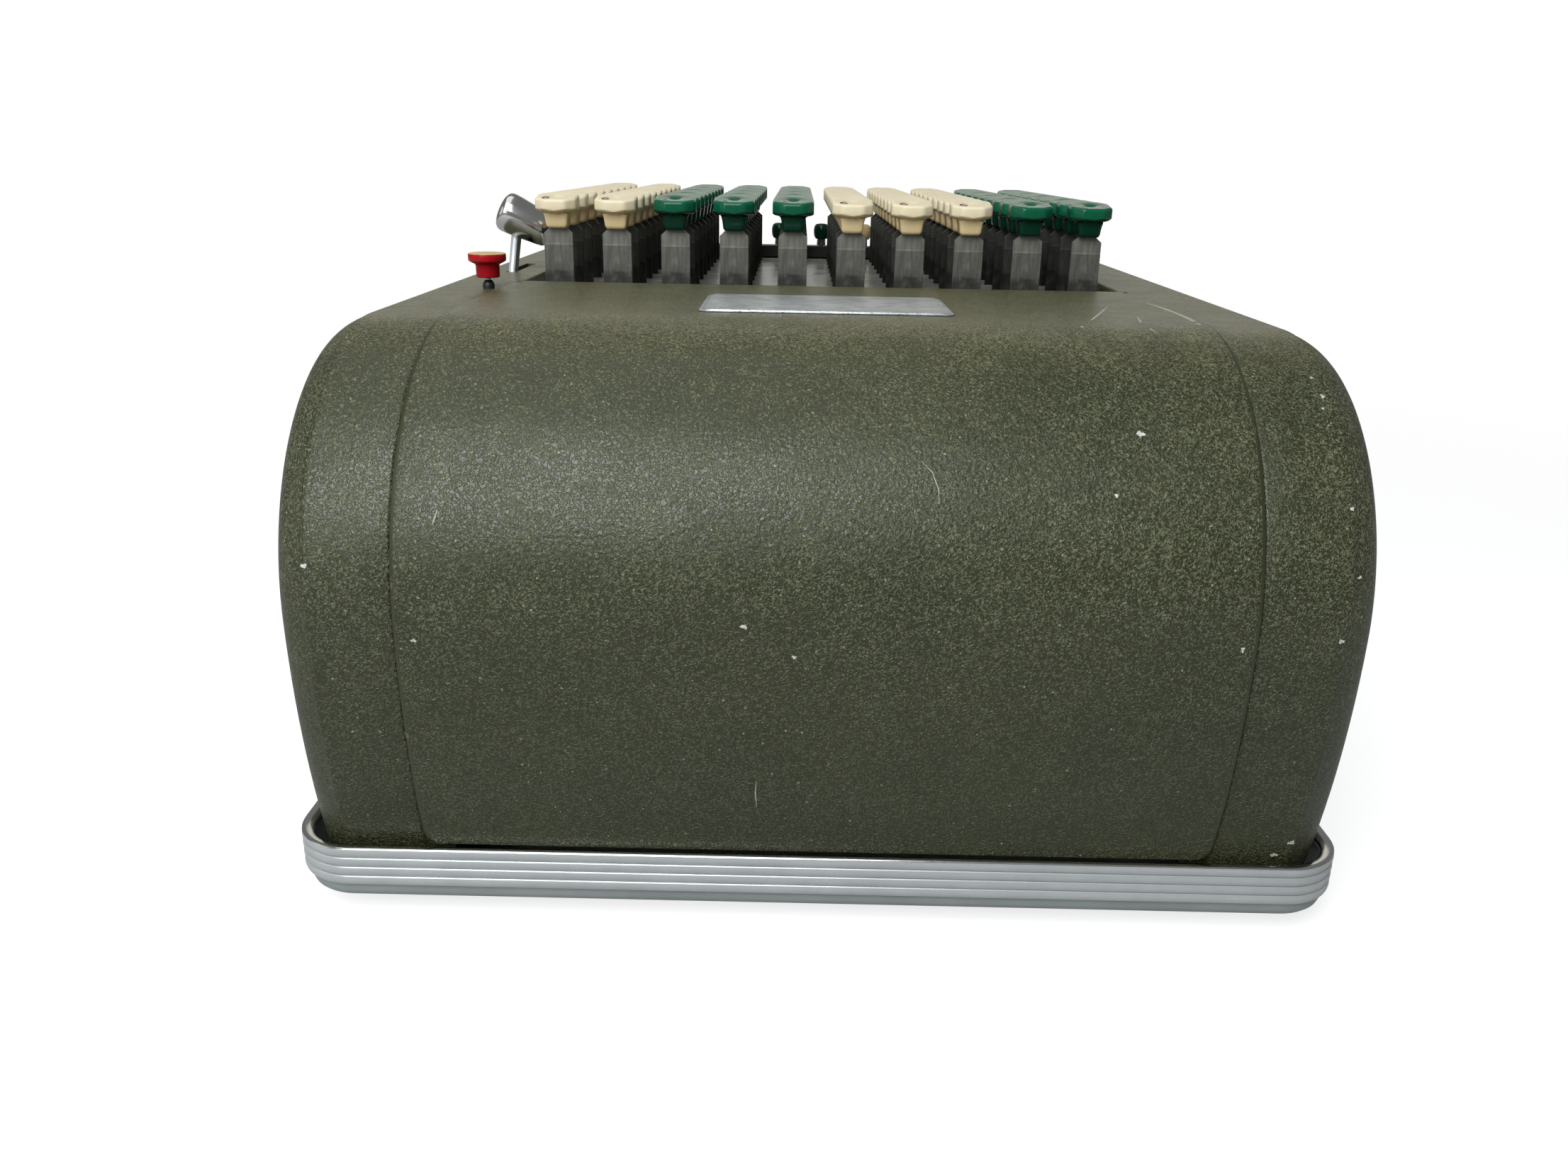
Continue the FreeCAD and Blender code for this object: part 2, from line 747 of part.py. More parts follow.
def build_cancel_lever():
    """Cancelling lever: hub and arm inside, leaning bar through the slot, tilted grip on top."""
    x0 = cancel_x - cancel_thickness / 2
    x1 = cancel_x + cancel_thickness / 2
    rear = cancel_deck_y + cancel_arm_width / 2
    front = cancel_deck_y - cancel_arm_width / 2
    top = grip_z - grip_seat
    hub = cancel_hub_radius
    y, z = cancel_pivot_y, cancel_pivot_z
    arm = [(y - hub, z - hub / 2), (y - hub / 2, z - hub), (y + hub / 2, z - hub),
           (y + hub, z - hub / 2), (rear, deck_height - cancel_foot_depth), (rear, deck_height),
           (rear - cancel_lean, top), (front - cancel_lean, top), (front, deck_height),
           (front, deck_height - cancel_foot_depth), (y - hub / 2, z + hub), (y - hub, z + hub / 2)]
    lever = prism_x(arm, x0, x1).fuse(build_grip())
    corner = (cancel_pin_radius + running_gap) / math.cos(math.pi / 12)
    hole = prism_x([(y + cy, z + cz) for cy, cz in polygon(corner, 12)], x0 - 1, x1 + 1)
    return lever.cut(hole).removeSplitter()


def build_release_key():
    """Release key: flared cap on a narrow neck, and a stem through the right deck."""
    top = release_cap_top
    flange = top - release_flange
    neck = flange - release_neck
    cap = turned([(release_neck_radius - 0.4, neck), (release_neck_radius, flange),
                  (release_cap_radius, top - 1.4), (release_cap_radius, top - 0.4),
                  (release_cap_radius - 0.6, top)], release_sides, release_x, release_y)
    ceiling = neck + release_hollow_depth
    cap = cap.cut(turned([(release_hollow_radius, neck - 1), (release_hollow_radius, ceiling)],
                         release_sides, release_x, release_y))
    under = deck_height - shell_wall - release_gap
    collar = release_stem_radius + 1.2
    stem = turned([(release_stem_radius, under - release_travel - 4),
                   (release_stem_radius, under - 1.5), (collar, under - 1.5), (collar, under),
                   (release_stem_radius, under), (release_stem_radius, ceiling)],
                  release_sides, release_x, release_y)
    return Part.makeCompound([cap, stem])


def build_top_plate():
    plate = box(-top_plate_width / 2, top_plate_width / 2, top_plate_y - top_plate_depth / 2,
                top_plate_y + top_plate_depth / 2, cover_deck, cover_deck + top_plate_wall)
    rim = [edge for edge in plate.Edges if edge.BoundBox.ZMin > cover_deck + 0.1]
    return plate.makeChamfer(top_plate_wall / 2, rim)


# Base
def base_corners(inset, radius):
    """Middle of each corner's arc, with the direction of the corner as a pair of signs."""
    x = band_half_width - inset - radius
    front = band_front_y + inset + radius
    rear = band_rear_y - inset - radius
    return [(x, rear, 1, 1), (-x, rear, -1, 1), (-x, front, -1, -1), (x, front, 1, -1)]


def base_prism(inset, z0, z1):
    """Upright prism of the base outline, inset from the band's outer face."""
    radius = band_corner_radius - inset
    points = []
    for turn, (x, y, sx, sy) in enumerate(base_corners(inset, radius)):
        ends = []
        for part in (0, 0.5, 1):
            a = math.pi / 2 * (turn + part)
            ends.append(vec(x + radius * math.cos(a), y + radius * math.sin(a), z0))
        points.append(ends)
    edges = []
    for i, ends in enumerate(points):
        edges.append(Part.Arc(*ends).toShape())
        edges.append(line(ends[2], points[(i + 1) % 4][0]))
    return Part.Face(Part.Wire(edges)).extrude(vec(0, 0, z1 - z0))


def base_ring(profile):
    """Ring round the base from a closed profile of (inset, z) points, turned at the corners."""
    radius = band_corner_radius
    ring = None
    corners = base_corners(0, radius)
    for turn, (x, y, sx, sy) in enumerate(corners):
        angle = math.pi / 2 * turn
        out = vec(math.cos(angle), math.sin(angle), 0)
        points = [vec(x, y, z) + out * (radius - inset) for inset, z in profile]
        face = Part.Face(Part.makePolygon(points + points[:1]))
        corner = face.revolve(vec(x, y, 0), Z_AXIS, 90)
        before = corners[turn - 1]
        back = vec(before[0] - x, before[1] - y, 0)
        piece = corner.fuse(face.extrude(back))
        ring = piece if ring is None else ring.fuse(piece)
    return ring.removeSplitter()


def foot_places():
    places = []
    for sx in (-1, 1):
        for y in (band_front_y + foot_inset, band_rear_y - foot_inset):
            places.append((sx * (band_half_width - foot_inset), y))
    return places


def build_base_pan():
    """Pressed pan: a floor and a rim that stands up inside the trim band."""
    outer = base_prism(pan_inset, pan_bottom, pan_bottom + pan_rim_height)
    low_edges = [edge for edge in outer.Edges if edge.BoundBox.ZMax < pan_bottom + 0.01]
    outer = outer.makeChamfer(pan_edge_chamfer, low_edges)
    inner = base_prism(pan_inset + pan_wall, pan_floor, pan_bottom + pan_rim_height + 1)
    return outer.cut(inner)


def build_trim_band():
    """Chromed band round the base: ribbed face, and a flange turned inwards over the pan."""
    pitch = band_height / rib_count
    half_groove = groove_width / 2
    profile = [(0, band_bottom)]
    for rib in range(1, rib_count):
        z = band_bottom + rib * pitch
        profile += [(0, z - half_groove), (groove_depth, z), (0, z + half_groove)]
    inside = pan_inset - band_gap
    profile += [(0, band_top), (band_flange_width, band_top),
                (band_flange_width, band_top - band_skin),
                (inside, band_top - band_skin), (inside, band_bottom)]
    return base_ring(profile)


def build_rubber_feet():
    """Four tapered feet under the pan."""
    feet = []
    for x, y in foot_places():
        feet.append(turned([(foot_radius - 1.2, 0), (foot_radius, pan_bottom)],
                           foot_sides, x, y))
    return Part.makeCompound(feet)


def build_all():
    for name, side in build_side_casings(build_shell()).items():
        save(name, side)
    save("rear_cover", build_rear_cover())
    save("front_cover", build_front_cover())
    save("register_lens", build_register_lens())
    save("top_plate", build_top_plate())
    save("keyboard_plate", build_keyboard_plate())
    save("guide_plate", build_guide_plate())
    save("frame_right", build_right_frame())
    save("frame_left", build_frame(frame_left_x))
    save("lever_shaft", shaft(lever_shaft_radius, lever_pivot_y, lever_pivot_z))
    save("wheel_shaft", shaft(wheel_shaft_radius, wheel_axis_y, wheel_axis_z))
    save("tie_rods", build_tie_rods())
    save("base_pan", build_base_pan())
    save("trim_band", build_trim_band())
    save("rubber_feet", build_rubber_feet())
    for index in range(1, columns + 1):
        save("key_column_%02d" % index, build_key_column(index))
        save("column_lever_%02d" % index, build_lever(index))
        save("cut_off_knob_%02d" % index, build_knob(index))
    for index in range(1, wheel_count + 1):
        save("numeral_wheel_%02d" % index, build_wheel(index))
    save("cancel_lever", build_cancel_lever())
    save("release_key", build_release_key())


build_all()
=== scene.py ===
"""Visual model of a key-driven calculator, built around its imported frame. Metres in the scene;
sizes in the tables are millimetres. +X is the operator's right, +Y the rear, +Z up."""
from math import asin, cos, degrees, pi, radians, sin, sqrt, tan

import bmesh
import bpy
from mathutils import Matrix, Vector


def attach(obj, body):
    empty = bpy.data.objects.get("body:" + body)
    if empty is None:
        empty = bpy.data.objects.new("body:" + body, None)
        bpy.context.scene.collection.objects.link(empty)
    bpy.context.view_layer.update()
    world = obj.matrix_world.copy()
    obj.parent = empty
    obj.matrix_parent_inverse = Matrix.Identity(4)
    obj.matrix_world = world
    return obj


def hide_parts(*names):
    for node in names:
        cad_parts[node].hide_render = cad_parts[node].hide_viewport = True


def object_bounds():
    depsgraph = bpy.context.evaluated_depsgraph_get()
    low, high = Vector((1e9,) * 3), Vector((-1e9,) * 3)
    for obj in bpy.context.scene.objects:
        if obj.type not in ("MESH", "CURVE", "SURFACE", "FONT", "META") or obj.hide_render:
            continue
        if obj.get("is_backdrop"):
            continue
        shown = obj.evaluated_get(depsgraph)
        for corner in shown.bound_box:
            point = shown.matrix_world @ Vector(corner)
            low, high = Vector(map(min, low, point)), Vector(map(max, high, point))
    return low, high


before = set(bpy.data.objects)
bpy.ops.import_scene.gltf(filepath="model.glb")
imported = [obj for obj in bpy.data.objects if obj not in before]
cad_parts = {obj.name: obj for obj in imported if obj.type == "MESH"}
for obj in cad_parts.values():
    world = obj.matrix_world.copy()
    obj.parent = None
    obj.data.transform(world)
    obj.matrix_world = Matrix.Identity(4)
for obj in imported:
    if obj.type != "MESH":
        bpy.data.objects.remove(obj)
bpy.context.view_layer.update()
scene = bpy.context.scene
MM = 0.001

# Sizes shared with the frame, in millimetres
COLUMNS = 10
ROWS = 9
PITCH_X = 19.05
PITCH_Y = 18.7
REAR_ROW = 19.3
DECK = 142.2
RISE = 1.3
CAP_BOTTOM = 158.6
CAP_TOP = 169.5
CAP_HALF = 6.65
CAP_FALL = tan(radians(8.5))
OPEN_X = 96.6
OPEN_REAR = 28.4
OPEN_FRONT = -143.7
COVER_X = 97.1
FRONT_X = 112
CREASE_X = 117.2
CHEEK = 7.6
SIDE_FOOT = 6.5
COVER_FOOT = 20.4
SIDE_WALL = 1.6
COVER_WALL = 1.2
KNOB_OFFSET_X = -12.1
KNOB_Y = -146.8
WINDOW_OFFSET_X = 2
WINDOW_HALF = 3.5
WINDOW_CENTRE = (-169.5, 118.6)
CREAM = (1, 2, 6, 7, 8)


def column_x(index):
    return ((COLUMNS + 1) / 2 - index) * PITCH_X


def row_y(row):
    return REAR_ROW - (ROWS - row) * PITCH_Y


# Node materials. Reflections see this part of the white background
GLOSS_SHARE = 0.16


class Tree:
    """Small helper that builds the node tree of a material or a world."""

    def __init__(self, owner, output):
        owner.use_nodes = True
        self.tree = owner.node_tree
        self.tree.nodes.clear()
        self.out = self.node(output)

    def node(self, kind, sockets=(), **values):
        """New node with the values of its sockets and its settings."""
        made = self.tree.nodes.new("ShaderNode" + kind)
        for key, value in dict(sockets).items():
            made.inputs[key].default_value = value
        for key, value in values.items():
            setattr(made, key, value)
        return made

    def link(self, a, b):
        self.tree.links.new(a, b)

    def choice(self, factor, a, b):
        """Shader output that goes from a to b."""
        made = self.node("MixShader")
        for socket, value in zip(made.inputs, (factor, a, b)):
            self.link(value, socket)
        return made.outputs[0]

    def math(self, operation, a, b, clamp=False):
        made = self.node("Math", operation=operation, use_clamp=clamp)
        for socket, value in zip(made.inputs, (a, b)):
            if isinstance(value, (int, float)):
                socket.default_value = value
            else:
                self.link(value, socket)
        return made.outputs[0]

    def times(self, a, b):
        return self.math("MULTIPLY", a, b)

    def seen(self):
        """1 for camera and transmission rays, and a part for glossy rays."""
        rays = self.node("LightPath").outputs
        value = self.times(rays["Is Glossy Ray"], GLOSS_SHARE)
        for name in ("Is Camera Ray", "Is Transmission Ray"):
            value = self.math("MAXIMUM", value, rays[name])
        return value


class Mat(Tree):
    """One procedural material with a Principled shader."""

    def __init__(self, name):
        self.mat = bpy.data.materials.new(name)
        super().__init__(self.mat, "OutputMaterial")
        self.shader = self.node("BsdfPrincipled")
        self.link(self.shader.outputs[0], self.out.inputs[0])
        self.place = self.node("TexCoord").outputs["Object"]

    def set(self, **values):
        for key, value in values.items():
            self.shader.inputs[key.replace("_", " ")].default_value = value

    def stretched(self, scale):
        """Coordinates scaled by three factors."""
        mapping = self.node("Mapping", {"Scale": scale})
        self.link(self.place, mapping.inputs["Vector"])
        return mapping.outputs[0]

    def noise(self, size, detail=2, rough=0.5, where=None, distortion=0):
        """Noise whose features are about size millimetres."""
        made = self.node("TexNoise", {"Scale": 1 / (size * MM), "Detail": detail,
                                      "Roughness": rough, "Distortion": distortion})
        self.link(where or self.place, made.inputs["Vector"])
        return made.outputs["Fac"]

    def cells(self, size):
        """Distance to the middle of cells that are about size millimetres."""
        made = self.node("TexVoronoi", {"Scale": 1 / (size * MM)})
        self.link(self.place, made.inputs["Vector"])
        return made.outputs["Distance"]

    def ramp(self, value, stops):
        """Colour ramp; each stop is (place, colour or grey)."""
        made = self.node("ValToRGB")
        points = made.color_ramp.elements
        while len(points) < len(stops):
            points.new(0.5)
        for point, (where, colour) in zip(points, stops):
            point.position = where
            if not isinstance(colour, tuple):
                colour = (colour, colour, colour)
            point.color = (*colour, 1)
        self.link(value, made.inputs[0])
        return made.outputs[0]

    def between(self, value, low, high, start=0.3, end=0.7):
        """Ramp from low to high, over the middle of a noise's range unless told otherwise."""
        return self.ramp(value, [(start, low), (end, high)])

    def mix(self, factor, a, b, blend="MIX"):
        made = self.node("Mix", data_type="RGBA", blend_type=blend)
        for socket, value in ((made.inputs[0], factor), (made.inputs[6], a), (made.inputs[7], b)):
            if isinstance(value, tuple):
                socket.default_value = (*value, 1)
            elif isinstance(value, (int, float)):
                socket.default_value = value
            else:
                self.link(value, socket)
        return made.outputs[2]

    def colour(self, value):
        self.link(value, self.shader.inputs["Base Color"])

    def rough(self, value):
        self.link(value, self.shader.inputs["Roughness"])

    def bump(self, height, depth, strength=1):
        """Relief whose full height is depth millimetres."""
        made = self.node("Bump", {"Strength": strength, "Distance": depth * MM})
        self.link(height, made.inputs["Height"])
        self.link(made.outputs[0], self.shader.inputs["Normal"])

    def millimetres(self, axis=2):
        """One coordinate in millimetres, Z unless told otherwise."""
        split = self.node("SeparateXYZ")
        self.link(self.place, split.inputs[0])
        return self.times(split.outputs[axis], 1000)

    def along(self, start, span, axis=2, clamp=False):
        """0 where the coordinate is start, 1 a span further."""
        past = self.math("SUBTRACT", self.millimetres(axis), start)
        return self.math("DIVIDE", past, span, clamp)


def srgb(r, g, b):
    def one(c):
        c /= 255
        return c / 12.92 if c <= 0.04045 else ((c + 0.055) / 1.055) ** 2.4
    return one(r), one(g), one(b)


# Start and span, in millimetres, of the heights where looks change: the painted glints on the
# ridges get fuller up the casing, the deck is warmer and painted lighter as top light, the stems
# are darker low down, and the plate is pitted to the rear
GLINTS_FULL = (55, 50)
DECK_LIGHT = (134, 8)
STEM_TONE = (138, 20)
PLATE_PITS = (94, 16)


def wrinkle_enamel():
    """Olive wrinkle enamel: worm-like ridges and pale specks with painted glints, fewer low on the
    casing; painted top light on the deck.
    """
    m = Mat("wrinkle_enamel")
    m.set(Specular_IOR_Level=0.56, Specular_Tint=(0.97, 1, 0.96, 1))
    worms = m.noise(0.78, 1.2, 0.5, distortion=0.6)
    ridges = m.ramp(worms, [(0.4, 0), (0.485, 1), (0.515, 1), (0.6, 0)])
    ridges = m.times(ridges, m.between(m.noise(0.6, 1), 0.35, 1, 0.36, 0.5))
    clouds = m.noise(46, 3, 0.55)
    ground = m.between(clouds, srgb(37, 41, 15), srgb(45, 48, 20))
    # Painted glints: the ridges' pale tone, patchy, and thinner low on the casing
    glint_crowd = m.between(m.noise(14, 2), 0.65, 1)
    glint_crowd = m.times(glint_crowd, m.between(m.along(*GLINTS_FULL), 0.45, 1, 0, 1))
    # Painted top light: on the deck both tones turn lighter, and warmer
    deck = m.along(*DECK_LIGHT, clamp=True)
    ground = m.mix(deck, ground, srgb(60, 60, 36))
    glint_tone = m.mix(deck, srgb(109, 112, 82), srgb(132, 129, 88))
    tone = m.mix(m.times(ridges, glint_crowd), ground, glint_tone)
    # Painted glints: pale specks in patches
    speck_glints = m.between(m.cells(2.3), 1, 0, 0.07, 0.15)
    gate = m.between(m.noise(3.1, 1), 0, 1, 0.55, 0.62)
    speck_glints = m.times(m.times(speck_glints, gate), 0.7)
    m.colour(m.mix(speck_glints, tone, srgb(172, 174, 150)))
    m.rough(m.between(m.noise(9, 3), 0.28, 0.36))
    peel = m.noise(0.95, 1.5)
    m.bump(m.math("ADD", ridges, m.times(peel, 0.9)), 0.17, 1)
    return m.mat


def plain_enamel(name, dark, light, size, rough=(0.35, 0.5)):
    """Smooth paint with faint clouds, orange peel and dust."""
    m = Mat(name)
    cloud = m.noise(size, 4, 0.6)
    dust = m.between(m.noise(1.2, 3, 0.7), 0, 0.5, 0.62, 0.75)
    m.colour(m.mix(dust, m.between(cloud, dark, light), light))
    m.rough(m.between(cloud, *rough))
    m.bump(m.noise(1.6, 2), 0.02)
    return m.mat


def plated(name, tint, rough, wear=0.55, metallic=1):
    """Old bright plating: clear reflections, hazy patches, pits and a few dull spots."""
    m = Mat(name)
    haze = m.noise(11, 5, 0.65)
    pits = m.between(m.noise(0.9, 3, 0.8), 0, 1, 0.66, 0.72)
    patch = m.between(m.noise(7, 4, 0.7), 0, 1, wear, wear + 0.14)
    spots = m.times(pits, patch)
    scratch = m.noise(0.5, 2, where=m.stretched((0.04, 1, 1)))
    hazy = m.between(haze, 0, 0.5, 0.35, 0.75)
    tone = m.mix(hazy, srgb(*tint), srgb(*[c * 0.86 for c in tint]))
    m.colour(m.mix(spots, tone, srgb(70, 70, 62)))
    m.set(Metallic=metallic)
    base = m.between(haze, *rough, 0.3, 0.75)
    m.rough(m.mix(spots, base, (0.7, 0.7, 0.7)))
    m.bump(m.mix(0.7, scratch, haze), 0.012, 0.5)
    return m.mat


def moulded(name, main, shade, worn, low=None, rough=(0.28, 0.44), foot_dark=0.5, gloss=0.25):
    """Old moulded plastic: cloudy and rubbed in places; painted shade makes the neck darker and
    browner, and its foot is darker again.
    """
    m = Mat(name)
    cloud = m.noise(6, 4, 0.6)
    tone = m.between(cloud, srgb(*main), srgb(*shade), 0.3, 0.75)
    # Painted shade: under the flange the neck turns to the low tone; its foot is darker again
    if low:
        level = m.math("SUBTRACT", m.millimetres(), CAP_BOTTOM)
        depth = m.ramp(m.math("DIVIDE", level, 10), [(0.1, 1), (0.54, 0.85), (0.62, 0)])
        tone = m.mix(depth, tone, srgb(*low))
        edge = m.between(level, 1, 0, 0, 1)
        foot_darkening = m.times(edge, m.between(m.noise(2.2, 4, 0.7), 0.1, foot_dark, 0.35, 0.7))
        tone = m.mix(foot_darkening, tone, srgb(*[c * 0.5 for c in low]))
    rub = m.between(m.noise(1.4, 5, 0.75), 0, 0.4, 0.6, 0.75)
    m.colour(m.mix(rub, tone, srgb(*worn)))
    m.rough(m.between(m.noise(3, 3), *rough))
    m.set(Specular_IOR_Level=gloss)
    m.bump(m.noise(0.8, 3), 0.012, 0.5)
    return m.mat


def stem_steel(name, shade):
    """Dull steel stems: light upper step with a painted highlight along its lower rim, soft middle,
    darker foot.
    """
    m = Mat(name)
    streaks = m.noise(1.3, 4, 0.65, where=m.stretched((1, 1, 0.16)))
    foot_edge_noise = m.noise(2.6, 4, 0.6, where=m.stretched((1, 1, 0.35)))
    mottle = m.noise(3.5, 2)
    dark, light = (srgb(*[c * shade for c in tone]) for tone in ((98, 98, 91), (130, 130, 122)))
    tone = m.between(streaks, dark, light, 0.3, 0.72)
    high = m.along(*STEM_TONE)
    ragged = m.math("ADD", high, m.times(m.math("SUBTRACT", foot_edge_noise, 0.5), 0.12))
    # Darker towards the foot, with a ragged edge
    foot = m.ramp(ragged, [(0.1, 0.3), (0.34, 0.3), (0.38, 0.6), (0.6, 0.68)])
    # Painted highlight: a bright line at the step in the stem's thickness
    step = m.ramp(high, [(0.765, 0), (0.772, 1), (0.785, 0.9), (0.8, 0.45)])
    lit = m.mix(step, foot, (1.25, 1.25, 1.22))
    spots = m.mix(m.between(mottle, 0, 0.35, 0.5, 0.7), lit, (1.1, 1.1, 1.08))
    m.colour(m.mix(1, tone, spots, "MULTIPLY"))
    m.set(Metallic=0.4, Specular_IOR_Level=0.3)
    m.rough(m.between(streaks, 0.36, 0.5))
    m.bump(streaks, 0.02, 0.5)
    return m.mat


def worn_plate():
    """Thin satin plate with cool pale clouds, pitted along its rear edge."""
    m = Mat("worn_plate")
    edge = m.along(*PLATE_PITS, axis=1)
    grain = m.noise(0.5, 3, 0.7, where=m.stretched((0.12, 1, 1)))
    blot = m.noise(5.5, 4, 0.65)
    near = m.between(m.math("ADD", edge, m.math("SUBTRACT", blot, 0.5)), 0, 1, 0.2, 0.95)
    pits = m.between(m.noise(0.7, 3, 0.8), 0, 1, 0.56, 0.62)
    spots = m.times(pits, near)
    tone = m.between(blot, srgb(172, 178, 178), srgb(212, 217, 220), 0.35, 0.68)
    m.colour(m.mix(m.times(spots, 0.8), tone, srgb(82, 84, 72)))
    m.set(Metallic=0.75)
    m.rough(m.between(grain, 0.3, 0.46))
    m.bump(m.mix(0.5, grain, spots), 0.03, 0.6)
    return m.mat


def oiled_steel():
    m = Mat("oiled_steel")
    cloud = m.noise(12, 5, 0.65)
    m.colour(m.between(cloud, srgb(120, 118, 108), srgb(156, 155, 148)))
    m.set(Metallic=0.9)
    m.rough(m.between(m.noise(2, 4), 0.3, 0.45))
    m.bump(m.noise(0.6, 2, where=m.stretched((1, 0.1, 1))), 0.01)
    return m.mat


def bare_metal():
    """Bright metal where the enamel is chipped through."""
    m = Mat("bare_metal")
    m.colour(m.between(m.noise(0.5, 3), srgb(168, 168, 160), srgb(222, 224, 218)))
    m.set(Metallic=0.3)
    m.rough(m.between(m.noise(0.7, 2), 0.4, 0.6))
    m.bump(m.noise(0.4, 2), 0.02)
    return m.mat


def rubbed_enamel():
    """Enamel rubbed pale, for scratches and worn edges."""
    m = Mat("rubbed_enamel")
    patches = m.noise(1, 4, 0.7)
    m.colour(m.between(patches, srgb(142, 144, 130), srgb(182, 184, 172), 0.35, 0.7))
    m.rough(m.between(m.noise(0.8, 2), 0.4, 0.55))
    m.bump(m.noise(1.2, 2.5, 0.6, distortion=0.7), 0.1, 0.6)
    return m.mat


def worn_edge():
    """Enamel whose rolled edge is polished and partly worn pale; the pale wear also stands as a
    painted highlight along the seam.
    """
    m = Mat("worn_edge")
    wear = m.between(m.noise(7, 5, 0.7), 0, 0.6, 0.6, 0.76)
    m.colour(m.mix(wear, srgb(50, 53, 32), srgb(132, 133, 110)))
    m.rough(m.between(m.noise(1.2, 3), 0.3, 0.4))
    m.bump(m.noise(1, 2), 0.03, 0.6)
    return m.mat


def rubber():
    m = Mat("rubber")
    m.colour(m.between(m.noise(5, 4, 0.6), srgb(26, 26, 25), srgb(44, 43, 40)))
    m.rough(m.between(m.noise(2, 3), 0.7, 0.85))
    m.bump(m.noise(0.5, 3), 0.03)
    return m.mat


def ink(name, tone):
    m = Mat(name)
    m.colour(m.between(m.noise(0.6, 3), srgb(*tone), srgb(*[c + 22 for c in tone]), 0.3, 0.75))
    m.rough(m.between(m.noise(0.8, 2), 0.4, 0.6))
    m.bump(m.noise(0.3, 2), 0.005)
    return m.mat


def clear_lens():
    m = Mat("clear_lens")
    m.colour(m.between(m.noise(8, 3), (0.93, 0.95, 0.93), (1, 1, 1)))
    m.set(IOR=1.45, Transmission_Weight=1)
    m.rough(m.between(m.noise(3, 4, 0.7), 0.02, 0.14, 0.4, 0.8))
    m.bump(m.noise(5, 2), 0.01, 0.4)
    return m.mat


ENAMEL = wrinkle_enamel()
GREY = plain_enamel("pan_enamel", srgb(139, 145, 144), srgb(155, 161, 159), 22)
PLATE_PAINT = plain_enamel("plate_paint", srgb(150, 152, 144), srgb(176, 178, 170), 16,
                           (0.16, 0.28))
# Dark paint; it is also painted shade on the front lip and the painted shadow line under the top
# plate
DARK_AND_SHADE = plain_enamel("dark_paint_and_shade", srgb(26, 27, 21), srgb(38, 39, 31), 12, (0.4, 0.6))
BAND = plated("band_plating", (190, 194, 194), (0.26, 0.38), metallic=0.4)
CHROME = plated("bright_chrome", (206, 207, 203), (0.1, 0.2), wear=0.62)
DULL = plated("ferrule_metal", (168, 166, 156), (0.22, 0.4))
# The low tones are the necks' painted shade
CREAM_CAP = moulded("cream_cap", (239, 227, 195), (230, 214, 178), (243, 237, 216),
                    low=(230, 205, 156))
GREEN_CAP = moulded("green_cap", (12, 96, 66), (7, 80, 54), (34, 108, 78),
                    low=(3, 50, 35), rough=(0.12, 0.2), foot_dark=0.3)
RED_CAP = moulded("red_cap", (184, 18, 26), (160, 14, 22), (200, 60, 52), rough=(0.2, 0.34))
RED_NECK = moulded("red_neck", (168, 18, 30), (146, 14, 24), (176, 44, 42),
                   rough=(0.3, 0.42), gloss=0.15)
TAN_TOP = moulded("tan_top", (214, 190, 142), (196, 168, 120), (230, 214, 176), rough=(0.35, 0.5))
STEEL = stem_steel("stem_steel", 1.05)
# Painted shade: a darker copy of the stem steel, for the stems in the caps' shade, all but the rear
# row's
SHADED_STEEL = stem_steel("shaded_stem_steel", 0.68)
SILVER = worn_plate()
OILED = oiled_steel()
BARE = bare_metal()
RUBBED = rubbed_enamel()
EDGE_WEAR_AND_HIGHLIGHT = worn_edge()
RUBBER = rubber()
DARK_INK = ink("dark_ink", (62, 48, 34))
PALE_INK = ink("pale_ink", (128, 150, 134))
DRUM = moulded("drum_white", (226, 222, 206), (212, 206, 188), (236, 234, 222), rough=(0.4, 0.55))
LENS = clear_lens()


